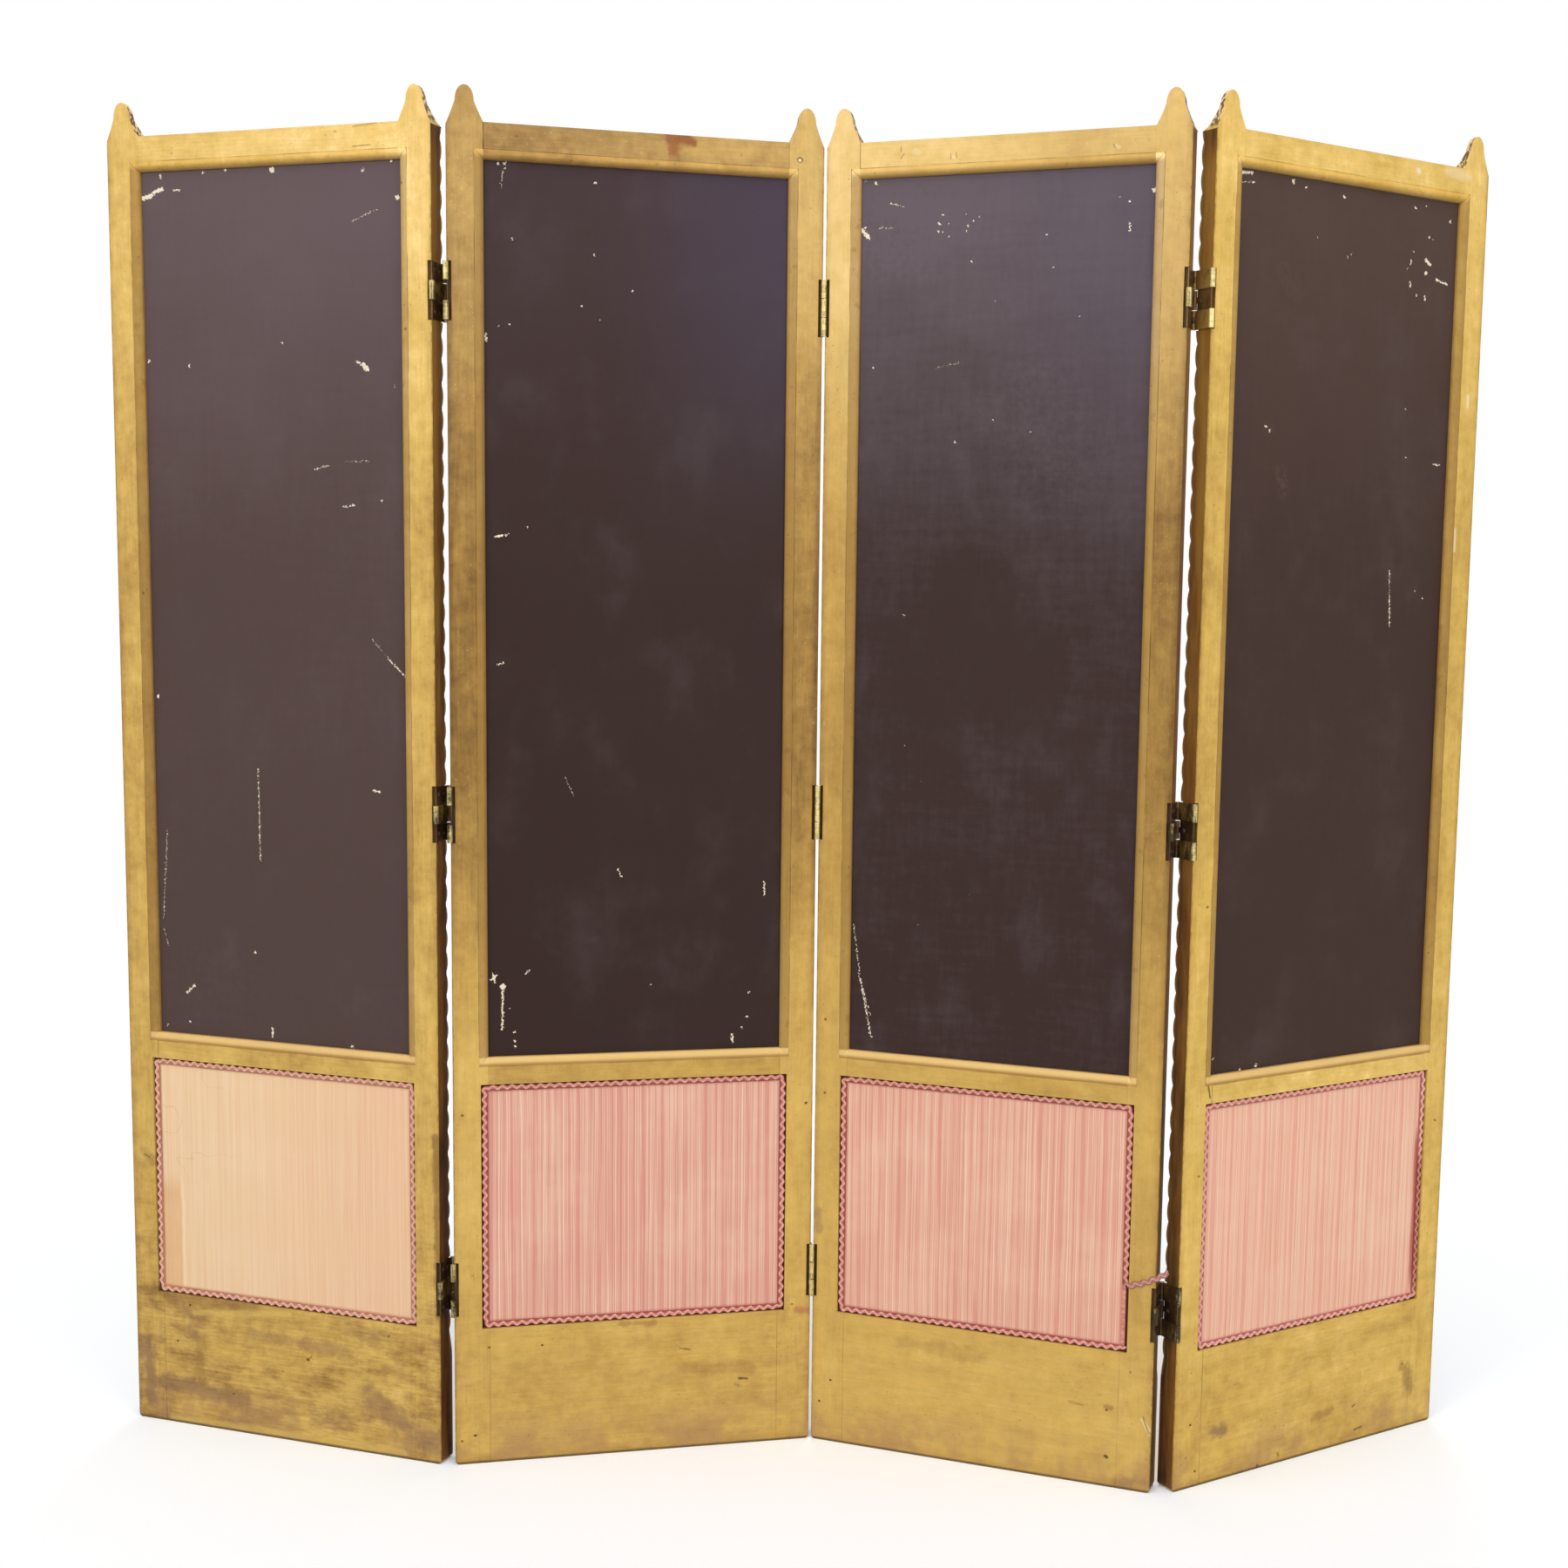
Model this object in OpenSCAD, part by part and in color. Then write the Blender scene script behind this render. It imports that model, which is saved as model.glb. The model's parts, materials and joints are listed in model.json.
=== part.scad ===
// Four-panel folding screen with mirrors above, cloth-covered panels below and
// double-acting hinges. Sizes are in millimetres.
// A panel is drawn along +X with its plain back at y = 0, its carved front towards
// +Y and its foot at z = 0. Its hinges then place it beside its neighbour.

/* [Fold] */
// Fold between panels 1 and 2, carved fronts towards each other
fold_12 = 30.5; // [0:0.5:150]
// Fold between panels 2 and 3, plain backs towards each other
fold_23 = 32.5; // [0:0.5:150]
// Fold between panels 3 and 4, carved fronts towards each other
fold_34 = 52; // [0:0.5:150]
// Turn of panel 2 away from the X axis
turn_2 = 13.1; // [0:0.1:45]

/* [Panel] */
// Width of one panel
panel_width = 508; // [440:1:620]
// Height to the top edge of the top rail
panel_height = 1850; // [1750:1:2000]
// Thickness of the plain wood
wood = 25; // [24:0.5:30]
// Width of the stiles
stile_width = 48.5; // [47:0.5:60]
// Height of the top rail
top_rail_height = 47; // [42:0.5:60]
// Height of the lower edge of the mirror opening
mirror_sill = 587.5; // [570:0.5:640]
// Height of the middle rail
middle_rail_height = 48.5; // [46:0.5:60]
// Height of the bottom rail
bottom_rail_height = 207.5; // [180:0.5:240]
// Height of the finials above the top rail
finial_height = 46.5; // [40:0.5:60]
// Radius of the rounded bottom corners
foot_radius = 6; // [2:0.5:10]

/* [Mirror] */
// Width of the glazing beads
bead_width = 12.3; // [10:0.1:14]
// Depth of the glass below the plain back
bead_depth = 9; // [8:0.5:10]
// Thickness of the mirror glass
glass = 5; // [4:0.5:6]

/* [Covered panel] */
// Width of the rebate that holds the covered board
cover_rebate = 10.5; // [9:0.5:12]
// Depth of the braid below the plain back
braid_recess = 1.7; // [1:0.1:2.5]
// Width of the braid over its scallops
braid_width = 11; // [9:0.5:12]
// Thickness of the braid
braid = 2.2; // [1.5:0.1:2.5]
// Thickness of the cloth
cloth = 1; // [0.8:0.1:1.2]
// Thickness of the board behind the cloth
board = 9; // [8:0.5:10]
// Pitch of the scallops of the braid
braid_pitch = 12.3; // [11.5:0.1:14]

/* [Carving] */
// Height of the carving above the wood
relief = 7; // [6:0.5:9]
// Distance from a panel's edge to the scalloped border
border_inset = 1.8; // [1.5:0.1:3]
// Width of the scalloped border
border_width = 32; // [28:0.5:34]
// Pitch of the scallops along the border
scallop_pitch = 32.3; // [28:0.1:40]
// Depth of the scallops
scallop_depth = 3; // [2:0.1:4]
// Distance from a stile's top to the first notch between two scallops
first_notch = 12; // [4:0.5:30]
// Height at which the plain plinth reaches the panel's edge
plinth_height = 150; // [100:1:160]
// Height of the shoulder between the plinth and the border
plinth_shoulder = 38; // [20:1:44]

/* [Hinges] */
// Height of one hinge
hinge_height = 76; // [70:0.5:84]
// Height of the centre of the lowest hinge
low_hinge = 256; // [240:1:300]
// Height of the centre of the middle hinge
middle_hinge = 928; // [860:1:980]
// Height of the centre of the highest hinge
high_hinge = 1630; // [1560:1:1680]
// Gap between the edges of two panels standing in line
edge_gap = 3; // [2.8:0.1:3.4]
// Distance of the back pins outside the plain back
back_pin_offset = 2; // [1.8:0.1:2.5]
// Distance of the front pins outside the carving
front_pin_offset = 1.5; // [1.2:0.1:2]
// Radius of the barrels
barrel_radius = 3.6; // [3.4:0.1:3.8]
// Radius of the pins
pin_radius = 1.3; // [1.2:0.1:1.5]
// Radial clearance between a pin and its barrel
pin_clearance = 0.05; // [0.02:0.01:0.1]
// Gap along the pin between two barrels
barrel_gap = 0.3; // [0.2:0.05:0.5]
// Thickness of a hinge leaf
leaf = 1.6; // [1.4:0.1:1.8]
// Thickness of a link plate
link = 2.2; // [2:0.1:2.4]
// Gap between one third of a hinge and the next
third_gap = 1.6; // [1.2:0.1:2]
// Radius of a screw head
screw_head = 3; // [2.5:0.1:3.2]
// Radius of a screw shank
screw_shank = 1.5; // [1.2:0.1:1.8]
// Length of a screw
screw_length = 16; // [12:1:22]

/* [Hidden] */
$fn = 48;
// Clearance around tenons, glass and board
fit = 0.1;
// Clearance between cloth, braid and what is next to them
soft_gap = 0.3;
// Overlap where one shape grows out of another
join = 1;
// Heights of the openings
opening_top = panel_height - top_rail_height;
cover_top = mirror_sill - middle_rail_height;
cover_bottom = bottom_rail_height;
opening_width = panel_width - 2 * stile_width;
// Depths, counted from the plain back
glass_rebate = bead_depth + glass;
cloth_y = braid_recess + braid + soft_gap;
board_y = cloth_y + cloth + soft_gap;
front_cloth_y = board_y + board + soft_gap;
cover_rebate_depth = front_cloth_y + cloth + soft_gap;
front = wood + relief;
// Hinge axes, counted from a panel's own edge and its plain back
axis_x = -edge_gap / 2;
back_axis = -back_pin_offset;
front_axis = front + front_pin_offset;
hinges = [low_hinge, middle_hinge, high_hinge];
third = (hinge_height + third_gap) / 3;
knuckle = (third - third_gap - 2 * barrel_gap) / 3;
barrel_clear = 0.5;
barrel_room = barrel_radius + barrel_clear;
notch_width = 6;
notch_depth = 4.5;
notch_margin = 1;
// Depth of the first row of screws, their heights as shares of a leaf's height, and slots
screw_row = 8;
screw_shares = [0.14, 0.5, 0.86];
slot_width = 0.8;
slot_depth = 0.7;
// Tenons: thickness, depth, length, least cheek, and height and shoulder of the widest
tenon = 8;
tenon_y = 8.5;
tenon_length = 30;
tenon_cheek = 3;
tenon_height = 50;
tenon_shoulder = 25;
// Radius whose arcs, one pitch long, leave notches of the scallops' depth
scallop_radius = (pow(scallop_pitch / 2, 2) + pow(scallop_depth, 2)) / (2 * scallop_depth);
border_foot = plinth_height + plinth_shoulder;
// How far a bead's arc runs past its inner edge, which leaves an upright face at the glass
bead_overrun = 0.6;
// Depth of the hollows between the braid's scallops
braid_hollow = 1.5;
// Half-round mouldings along the openings of the front
moulding_radius = 3.4;
moulding_inset = 4;
// Finials: half width of the tip, height where it starts, power of the sides' sweep,
// drop of the outer side, and thickness at foot and tip
finial_half = 12.3;
finial_neck = 27;
finial_sweep = 1.15;
finial_drop = 5;
finial_foot = 22;
finial_tip = 7;
// Where the leaning front of a finial is hollowest: depth and height
finial_waist = [13, 19];
// Reeds on the front of a finial
reed_pitch = 6;
reed_radius = 4;
reed_fan = 4;
// Loose end of panel 3's braid: where it leaves the frame and how it lies
tail_start = 8;
tail_x = panel_width - stile_width + tail_start;
tail_z = 289;
tail_slope = 22;
tail_length = 64;
tail_width = 8;
tail_thickness = 1.1;
tail_clear = 0.6;

// Places of the panels: [x, y, turn], each found from its neighbour's hinge axis
function turned(v, a) = [v.x * cos(a) - v.y * sin(a), v.x * sin(a) + v.y * cos(a)];
function at(place, v) = [place.x, place.y] + turned(v, place.z);
function hung(pin, own, a) = let (p = pin - turned(own, a)) [p.x, p.y, a];
function right_of(place, y, a) =
    hung(at(place, [panel_width - axis_x, y]), [axis_x, y], place.z + a);
function left_of(place, y, a) =
    hung(at(place, [axis_x, y]), [panel_width - axis_x, y], place.z - a);
raw_2 = [0, 0, turn_2];
raw_1 = left_of(raw_2, front_axis, fold_12);
raw_3 = right_of(raw_2, back_axis, -fold_23);
raw_4 = right_of(raw_3, front_axis, fold_34);
raw = [raw_1, raw_2, raw_3, raw_4];
// Corners and barrels of all panels, each with its radius, which centre the screen
reach = [for (n = [0:3]) each concat(
    [for (x = [0, panel_width]) for (y = [0, front]) [at(raw[n], [x, y]), 0]],
    [for (y = [back_axis, front_axis]) for (x = [axis_x, panel_width - axis_x])
        if ((x < 0) ? n > 0 : n < 3) [at(raw[n], [x, y]), barrel_radius]])];
centre = [for (k = [0, 1])
    (min([for (r = reach) r[0][k] - r[1]]) + max([for (r = reach) r[0][k] + r[1]])) / 2];

gilt = "Goldenrod";
brass = "DarkGoldenrod";
steel = "Silver";

// Puts a piece drawn in panel n's own place into the standing screen
module on_panel(n) {
    translate([raw[n - 1].x - centre.x, raw[n - 1].y - centre.y, 0]) rotate(raw[n - 1].z) children();
}

// Thickens an outline in X and Z from depth y
module slab(y, thickness) {
    translate([0, y + thickness, 0]) rotate([90, 0, 0]) linear_extrude(thickness) children();
}

// The same piece at a panel's right edge
module other_edge() {
    translate([panel_width, 0, 0]) mirror([1, 0, 0]) children();
}

// Outline of a finial over a stile's top, with its outer edge at x = 0. Its sides sweep in
// to an oval tip, and the outer one starts lower than the one over the rail.
module finial_outline() {
    middle = stile_width / 2;
    tip = finial_height - finial_neck;
    function sweep(t) = finial_half + (middle - finial_half) * pow(1 - t, finial_sweep);
    function side(start) = [for (t = [0:0.1:1]) [sweep(t), start + t * (finial_neck - start)]];
    oval = [for (a = [10:10:170]) [finial_half * cos(a), finial_neck + tip * sin(a)]];
    outer = side(-finial_drop);
    translate([middle, 0]) polygon(concat(
        [[middle, -finial_drop]], side(0), oval,
        [for (k = [len(outer) - 1:-1:0]) [-outer[k].x, outer[k].y]]));
}

// Side of a finial: its front leans back from the carving to a thin tip
module finial_side() {
    rotate([90, 0, 90]) linear_extrude(stile_width) polygon([
        [0, -finial_drop], [front - border_inset, -finial_drop], [finial_foot, 0],
        finial_waist, [finial_tip, finial_height], [0, finial_height]]);
}

// Finial: a thin leaf with reeds that fan out over its leaning front
module finial() {
    lean = atan((finial_foot - finial_tip) / finial_height);
    intersection() {
        slab(0, front) finial_outline();
        union() {
            finial_side();
            for (k = [-2:2]) translate([stile_width / 2 + k * reed_pitch, finial_foot - reed_radius, 0])
                rotate([lean, -k * reed_fan, 0]) cylinder(h = finial_height, r = reed_radius);
        }
    }
}

// Carved border with a scalloped outer edge at x = 0, from z = 0 to its length
module border_outline(length) {
    intersection() {
        square([border_width, length]);
        for (z = [scallop_pitch / 2 - first_notch:-scallop_pitch:-length - scallop_pitch])
            translate([scallop_radius, length + z]) circle(scallop_radius, $fn = 96);
    }
}

// Plinth whose shoulders curve in from the edge to the border
module plinth_outline() {
    inset = border_inset + scallop_depth;
    polygon(concat([[0, 0]],
        [for (t = [0:15:90]) [inset * (1 - cos(t)), plinth_height + plinth_shoulder * t / 90]],
        [[stile_width - moulding_inset, border_foot], [stile_width, plinth_height], [stile_width, 0]]));
}

// Front of a stile: border and plinth
module stile_carving() {
    slab(wood - join, relief + join) {
        translate([border_inset, border_foot - join])
            border_outline(panel_height - finial_drop - border_foot + join);
        plinth_outline();
    }
}

// Half-round moulding along an edge of an opening, with a round start
module sight_moulding(length) {
    cylinder(h = length, r = moulding_radius);
    sphere(moulding_radius);
}

// Cut for a hinge in a panel's edge: leaf recess and a notch at each corner
module hinge_cut() {
    for (z = hinges) translate([0, 0, z - hinge_height / 2]) {
        translate([-join, back_axis + barrel_room, -fit])
            cube([join + leaf, wood, hinge_height + 2 * fit]);
        translate([-join, -join, -notch_margin])
            cube([join + notch_width, join + notch_depth, hinge_height + 2 * notch_margin]);
        translate([-join, wood, -notch_margin])
            cube([join + notch_width, relief + join, hinge_height + 2 * notch_margin]);
        for (h = screw_places()) translate([0, h[0], h[1]])
            rotate([0, 90, 0]) cylinder(h = screw_length + fit, r = screw_shank + pin_clearance);
    }
}

// Screws of one leaf: [depth, height above the leaf's lower edge]
function screw_places() = [for (z = screw_shares) for (y = [screw_row, wood - screw_row / 2])
    if (y > screw_row || z != screw_shares[1]) [y, z * hinge_height]];

// Cut that rounds a panel's bottom corner, through its whole depth
module foot_corner() {
    difference() {
        translate([-join, -join, -join])
            cube([join + foot_radius, front + 2 * join, join + foot_radius]);
        translate([foot_radius, -2 * join, foot_radius]) rotate([-90, 0, 0])
            cylinder(h = front + 4 * join, r = foot_radius);
    }
}

// Mortises at a stile's inner edge
module mortises() {
    for (t = tenon_spans()) translate([stile_width - tenon_length - fit, tenon_y - fit, t[0] - fit])
        cube([tenon_length + fit + join, tenon + 2 * fit, t[1] + 2 * fit]);
}

// Tenons: [lower edge, height]
function tenon_spans() = [
    [opening_top + bead_width + tenon_cheek, top_rail_height - bead_width - 3 * tenon_cheek],
    [cover_top + cover_rebate + tenon_cheek,
        middle_rail_height - bead_width - cover_rebate - 2 * tenon_cheek],
    [tenon_shoulder, tenon_height],
    [cover_bottom - cover_rebate - tenon_shoulder - tenon_height, tenon_height]];

module stile(hinged) {
    difference() {
        union() {
            slab(0, wood) {
                square([stile_width, panel_height - finial_drop]);
                translate([stile_width - join, 0]) square([join, panel_height]);
            }
            translate([0, 0, panel_height]) finial();
            stile_carving();
            for (low = [mirror_sill, cover_bottom]) let (
                high = low == mirror_sill ? opening_top : cover_top,
                length = high - low + 2 * moulding_inset
            ) translate([stile_width - moulding_inset, wood, low - moulding_inset]) {
                sight_moulding(length);
                for (z = [0, length]) translate([0, 0, z])
                    rotate([0, 90, 0]) sight_moulding(moulding_inset);
            }
        }
        translate([stile_width - bead_width, -join, mirror_sill - bead_width])
            cube([bead_width + join, join + glass_rebate, opening_top - mirror_sill + 2 * bead_width]);
        translate([stile_width - cover_rebate, -join, cover_bottom - cover_rebate])
            cube([cover_rebate + join, join + cover_rebate_depth,
                cover_top - cover_bottom + 2 * cover_rebate]);
        mortises();
        foot_corner();
        if (hinged) hinge_cut();
    }
}

// A rail between the stiles from z to z + height, with the tenons whose numbers are given
module rail(z, height, tenons) {
    difference() {
        union() {
            translate([stile_width, 0, z]) cube([opening_width, wood, height]);
            for (n = tenons) let (t = tenon_spans()[n])
                translate([stile_width - tenon_length, tenon_y, t[0]])
                    cube([opening_width + 2 * tenon_length, tenon, t[1]]);
            children();
        }
        translate([stile_width - join, -join, mirror_sill - bead_width])
            cube([opening_width + 2 * join, join + glass_rebate,
                opening_top - mirror_sill + 2 * bead_width]);
        translate([stile_width - join, -join, cover_bottom - cover_rebate])
            cube([opening_width + 2 * join, join + cover_rebate_depth,
                cover_top - cover_bottom + 2 * cover_rebate]);
    }
}

module rail_moulding(z) {
    translate([stile_width, wood, z]) rotate([0, 90, 0])
        cylinder(h = opening_width, r = moulding_radius);
}

module top_rail() {
    rail(opening_top, top_rail_height, [0]) {
        intersection() {
            slab(wood - join, relief + join) translate([0, panel_height - border_inset])
                rotate(-90) border_outline(panel_width);
            translate([stile_width, 0, opening_top]) cube([opening_width, front, top_rail_height]);
        }
        rail_moulding(opening_top + moulding_inset);
    }
}

module middle_rail() {
    rail(cover_top, middle_rail_height, [1]) {
        translate([stile_width, wood - join, cover_top + 3 * moulding_inset])
            cube([opening_width, moulding_radius + join, middle_rail_height - 6 * moulding_inset]);
        rail_moulding(mirror_sill - moulding_inset);
        rail_moulding(cover_top + moulding_inset);
    }
}

module bottom_rail() {
    rail(0, bottom_rail_height, [2, 3]) {
        translate([stile_width, wood - join, 0])
            cube([opening_width, relief + join, plinth_height]);
        rail_moulding(cover_bottom - moulding_inset);
    }
}

module mirror_glass() {
    grow = bead_width - fit;
    translate([stile_width - grow, bead_depth, mirror_sill - grow])
        cube([opening_width + 2 * grow, glass, opening_top - mirror_sill + 2 * grow]);
}

// A mitred quarter-round bead along +X, with its outer edge at z = 0
module bead(length) {
    flat = bead_width - bead_depth + bead_overrun;
    intersection() {
        rotate([90, 0, 90]) linear_extrude(length) {
            square([bead_depth, flat]);
            intersection() {
                translate([bead_depth, flat]) circle(bead_depth);
                square([bead_depth, bead_width]);
            }
        }
        slab(0, bead_depth) polygon([[0, 0], [length, 0],
            [length - bead_width, bead_width], [bead_width, bead_width]]);
    }
}

// Four pieces along the sides of a frame, the upright ones with X and Z exchanged
module around(width, height) {
    children(0);
    translate([0, 0, height]) mirror([0, 0, 1]) children(0);
    mirror([1, 0, -1]) children(1);
    translate([width, 0, 0]) mirror([1, 0, 0]) mirror([1, 0, -1]) children(1);
}

module glazing_beads() {
    grow = bead_width - fit;
    width = opening_width + 2 * grow;
    height = opening_top - mirror_sill + 2 * grow;
    translate([stile_width - grow, 0, mirror_sill - grow]) around(width, height) {
        bead(width);
        bead(height);
    }
}

// A sheet that fills the lower rebate, from depth y
module lower_sheet(y, thickness, inset) {
    grow = cover_rebate - inset;
    translate([stile_width - grow, y, cover_bottom - grow])
        cube([opening_width + 2 * grow, thickness, cover_top - cover_bottom + 2 * grow]);
}

module panel_board() {
    lower_sheet(board_y, board, fit);
}

// Cloth on both faces of the board
module cloth_cover() {
    lower_sheet(cloth_y, cloth, soft_gap);
    lower_sheet(front_cloth_y, cloth, soft_gap);
}

// One scalloped length of braid along +X, inside z = 0
module braid_outline(length) {
    count = floor(length / braid_pitch);
    pitch = length / count;
    translate([0, braid_hollow]) square([length, braid_width - 2 * braid_hollow]);
    for (n = [0:count - 1])
        translate([(n + 0.5) * pitch, braid_width / 2]) circle(braid_width / 2);
}

module braid_frame() {
    grow = cover_rebate - soft_gap;
    width = opening_width + 2 * grow;
    height = cover_top - cover_bottom + 2 * grow;
    translate([stile_width - grow, 0, cover_bottom - grow]) slab(braid_recess, braid) {
        braid_outline(width);
        translate([0, height]) mirror([0, 1]) braid_outline(width);
        mirror([1, -1]) braid_outline(height);
        translate([width, 0]) mirror([1, 0]) mirror([1, -1]) braid_outline(height);
    }
}

// Panel 3's braid is torn from its lower right side, and the end lies across the stile
module torn_braid() {
    edge = panel_width - stile_width + cover_rebate;
    corner = cover_bottom - cover_rebate + braid_width + soft_gap;
    difference() {
        braid_frame();
        translate([edge - braid_width - soft_gap, 0, corner])
            cube([braid_width + soft_gap, braid_recess + braid + join, tail_z - corner]);
    }
    translate([tail_x, -tail_clear - tail_thickness, tail_z]) {
        rotate([0, -tail_slope, 0]) translate([-tail_width / 2, 0, -tail_width / 2])
            cube([tail_length, tail_thickness, tail_width]);
        translate([-tail_width / 2, 0, 0])
            cube([tail_width / 2, tail_clear + tail_thickness + braid_recess + braid / 2, tail_width]);
    }
}

// Hinge barrels: one knuckle of a third, counted from its middle
module barrel(y, third_number, place) {
    translate([axis_x, y, third_number * third + place * (knuckle + barrel_gap) - knuckle / 2])
        cylinder(h = knuckle, r = barrel_radius);
}

module pin_hole(y, third_number) {
    translate([axis_x, y, third_number * third - third / 2])
        cylinder(h = third, r = pin_radius + pin_clearance);
}

// A leaf in a panel's left edge, with its own knuckles in the thirds that are listed
module hinge_leaf(back_thirds, front_thirds) {
    near = back_axis + barrel_room;
    far = front_axis - barrel_room;
    difference() {
        union() {
            translate([0, near, -hinge_height / 2]) cube([leaf, far - near, hinge_height]);
            for (t = back_thirds) {
                barrel(back_axis, t, 0);
                translate([0, back_axis, t * third - knuckle / 2])
                    cube([leaf, barrel_room + join, knuckle]);
            }
            for (t = front_thirds) {
                barrel(front_axis, t, 0);
                translate([0, front_axis - barrel_room - join, t * third - knuckle / 2])
                    cube([leaf, barrel_room + join, knuckle]);
            }
        }
        for (t = back_thirds) pin_hole(back_axis, t);
        for (t = front_thirds) pin_hole(front_axis, t);
        for (h = screw_places()) translate([0, h[0], h[1] - hinge_height / 2])
            rotate([0, 90, 0]) {
                cylinder(h = 3 * leaf, r = screw_shank + fit, center = true);
                cylinder(h = leaf, r1 = screw_head, r2 = screw_shank + fit);
            }
    }
}

// A link plate in one third of the gap, with two knuckles on each pin
module link_plate(third_number) {
    height = third - third_gap;
    translate([0, 0, third_number * third]) difference() {
        union() {
            difference() {
                translate([axis_x - link / 2, back_axis, -height / 2])
                    cube([link, front_axis - back_axis, height]);
                for (y = [back_axis, front_axis])
                    translate([axis_x, y, -knuckle / 2 - barrel_gap])
                        cylinder(h = knuckle + 2 * barrel_gap, r = barrel_room);
            }
            for (y = [back_axis, front_axis]) for (place = [-1, 1]) barrel(y, 0, place);
        }
        for (y = [back_axis, front_axis]) pin_hole(y, 0);
    }
}

module hinge_pin(y, third_number) {
    height = third - third_gap;
    translate([axis_x, y, third_number * third - height / 2]) cylinder(h = height, r = pin_radius);
}

module leaf_screws() {
    for (h = screw_places()) translate([0, h[0], h[1] - hinge_height / 2]) rotate([0, 90, 0])
        difference() {
            union() {
                cylinder(h = leaf, r1 = screw_head - fit, r2 = screw_shank);
                cylinder(h = screw_length, r = screw_shank);
            }
            translate([-screw_head, -slot_width / 2, -join])
                cube([2 * screw_head, slot_width, join + slot_depth]);
        }
}

// A panel's hinge pieces at both edges: children 0 at its left edge, where it is the right
// hand panel of the joint, and children 1 at its right edge, where it is the left hand one
module at_hinges(n) {
    on_panel(n) for (z = hinges) translate([0, 0, z]) {
        if (n > 1) children(0);
        if (n < 4) other_edge() children(1);
    }
}

// The joint's left panel has its back knuckles in the middle third, the right panel in the
// outer thirds, and the front knuckles are the other way round
module leaves(n) {
    color(brass) at_hinges(n) {
        hinge_leaf([-1, 1], [0]);
        hinge_leaf([0], [-1, 1]);
    }
}

// Joints that turn on their front pins carry the middle link with the left panel, and the
// joint that turns on its back pins carries it with the right panel
module links(n) {
    color(brass) at_hinges(n) {
        if (n == 3) link_plate(0); else for (t = [-1, 1]) link_plate(t);
        if (n == 2) for (t = [-1, 1]) link_plate(t); else link_plate(0);
    }
}

module pins(n) {
    color(steel) at_hinges(n) {
        union() {
            for (t = [-1, 1]) hinge_pin(back_axis, t);
            hinge_pin(front_axis, 0);
        }
        union() {
            for (t = [-1, 1]) hinge_pin(front_axis, t);
            hinge_pin(back_axis, 0);
        }
    }
}

module screws(n) {
    color(steel) at_hinges(n) {
        leaf_screws();
        leaf_screws();
    }
}

module left_stile(n) { color(gilt) on_panel(n) stile(n > 1); }
module right_stile(n) { color(gilt) on_panel(n) other_edge() stile(n < 4); }
module upper_rail(n) { color(gilt) on_panel(n) top_rail(); }
module centre_rail(n) { color(gilt) on_panel(n) middle_rail(); }
module lower_rail(n) { color(gilt) on_panel(n) bottom_rail(); }
module mirror_plate(n) { color("SlateGray") on_panel(n) mirror_glass(); }
module beads(n) { color("Gold") on_panel(n) glazing_beads(); }
module backing_board(n) { color("BurlyWood") on_panel(n) panel_board(); }
module cover(n) { color("LightPink") on_panel(n) cloth_cover(); }
module braids(n) {
    color("IndianRed") on_panel(n) if (n == 3) torn_braid(); else braid_frame();
}

for (n = [1:4]) {
    left_stile(n);
    right_stile(n);
    upper_rail(n);
    centre_rail(n);
    lower_rail(n);
    mirror_plate(n);
    beads(n);
    backing_board(n);
    cover(n);
    braids(n);
    leaves(n);
    links(n);
    pins(n);
    screws(n);
}
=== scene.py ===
"""Looks of a four-panel giltwood folding screen with mirrors above and striped cloth
below, seen from its plain back. Sizes are in metres, and marks in millimetres."""

import json
import math

import bmesh
import bpy
from mathutils import Matrix, Vector, noise


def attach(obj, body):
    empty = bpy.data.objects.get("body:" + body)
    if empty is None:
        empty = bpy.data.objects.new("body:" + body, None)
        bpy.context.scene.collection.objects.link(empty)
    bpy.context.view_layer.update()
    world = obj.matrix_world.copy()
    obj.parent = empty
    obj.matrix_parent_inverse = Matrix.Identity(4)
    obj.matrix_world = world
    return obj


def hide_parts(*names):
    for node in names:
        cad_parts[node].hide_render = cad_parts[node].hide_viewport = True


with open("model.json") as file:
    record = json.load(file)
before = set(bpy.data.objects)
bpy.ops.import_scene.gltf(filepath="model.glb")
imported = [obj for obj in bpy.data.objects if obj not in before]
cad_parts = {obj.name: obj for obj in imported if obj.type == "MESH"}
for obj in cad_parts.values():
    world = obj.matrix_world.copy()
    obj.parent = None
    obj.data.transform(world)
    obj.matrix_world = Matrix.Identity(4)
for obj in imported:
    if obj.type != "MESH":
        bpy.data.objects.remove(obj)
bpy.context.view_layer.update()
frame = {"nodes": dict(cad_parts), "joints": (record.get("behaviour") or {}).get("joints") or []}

MM = 0.001

# Sizes of a panel, as in the part's source
WIDTH = 0.508
HEIGHT = 1.850
STILE = 0.0485
WOOD = 0.025
FRONT = 0.032
OPENING_TOP = 1.803
SILL = 0.5875
COVER_TOP = 0.539
COVER_BOTTOM = 0.2075
BEAD = 0.0123
REBATE = 0.0105
SOFT_GAP = 0.0003
CLOTH = 0.001
BACK_CLOTH = 0.0042
FRONT_CLOTH = 0.0148
GLASS_BACK = 0.009
GLASS_FRONT = 0.014
# Upper end of the torn stretch of panel 3's braid
TORN_TOP = 0.289

# Pitch of the carved border's scallops, and the middle of one along the top and up a side
SCALLOP = 0.0323
SCALLOP_X = 0.44755
SCALLOP_Z = 1.81685
# Carving inside that border, leaves and pearls: half length as a share of its pitch, distance of
# its middle from the edge, and half width
LEAF = 0.50, 0.0125, 0.0130
PEARL = 0.34, 0.0292, 0.0028
BORDER = 0.034

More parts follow.
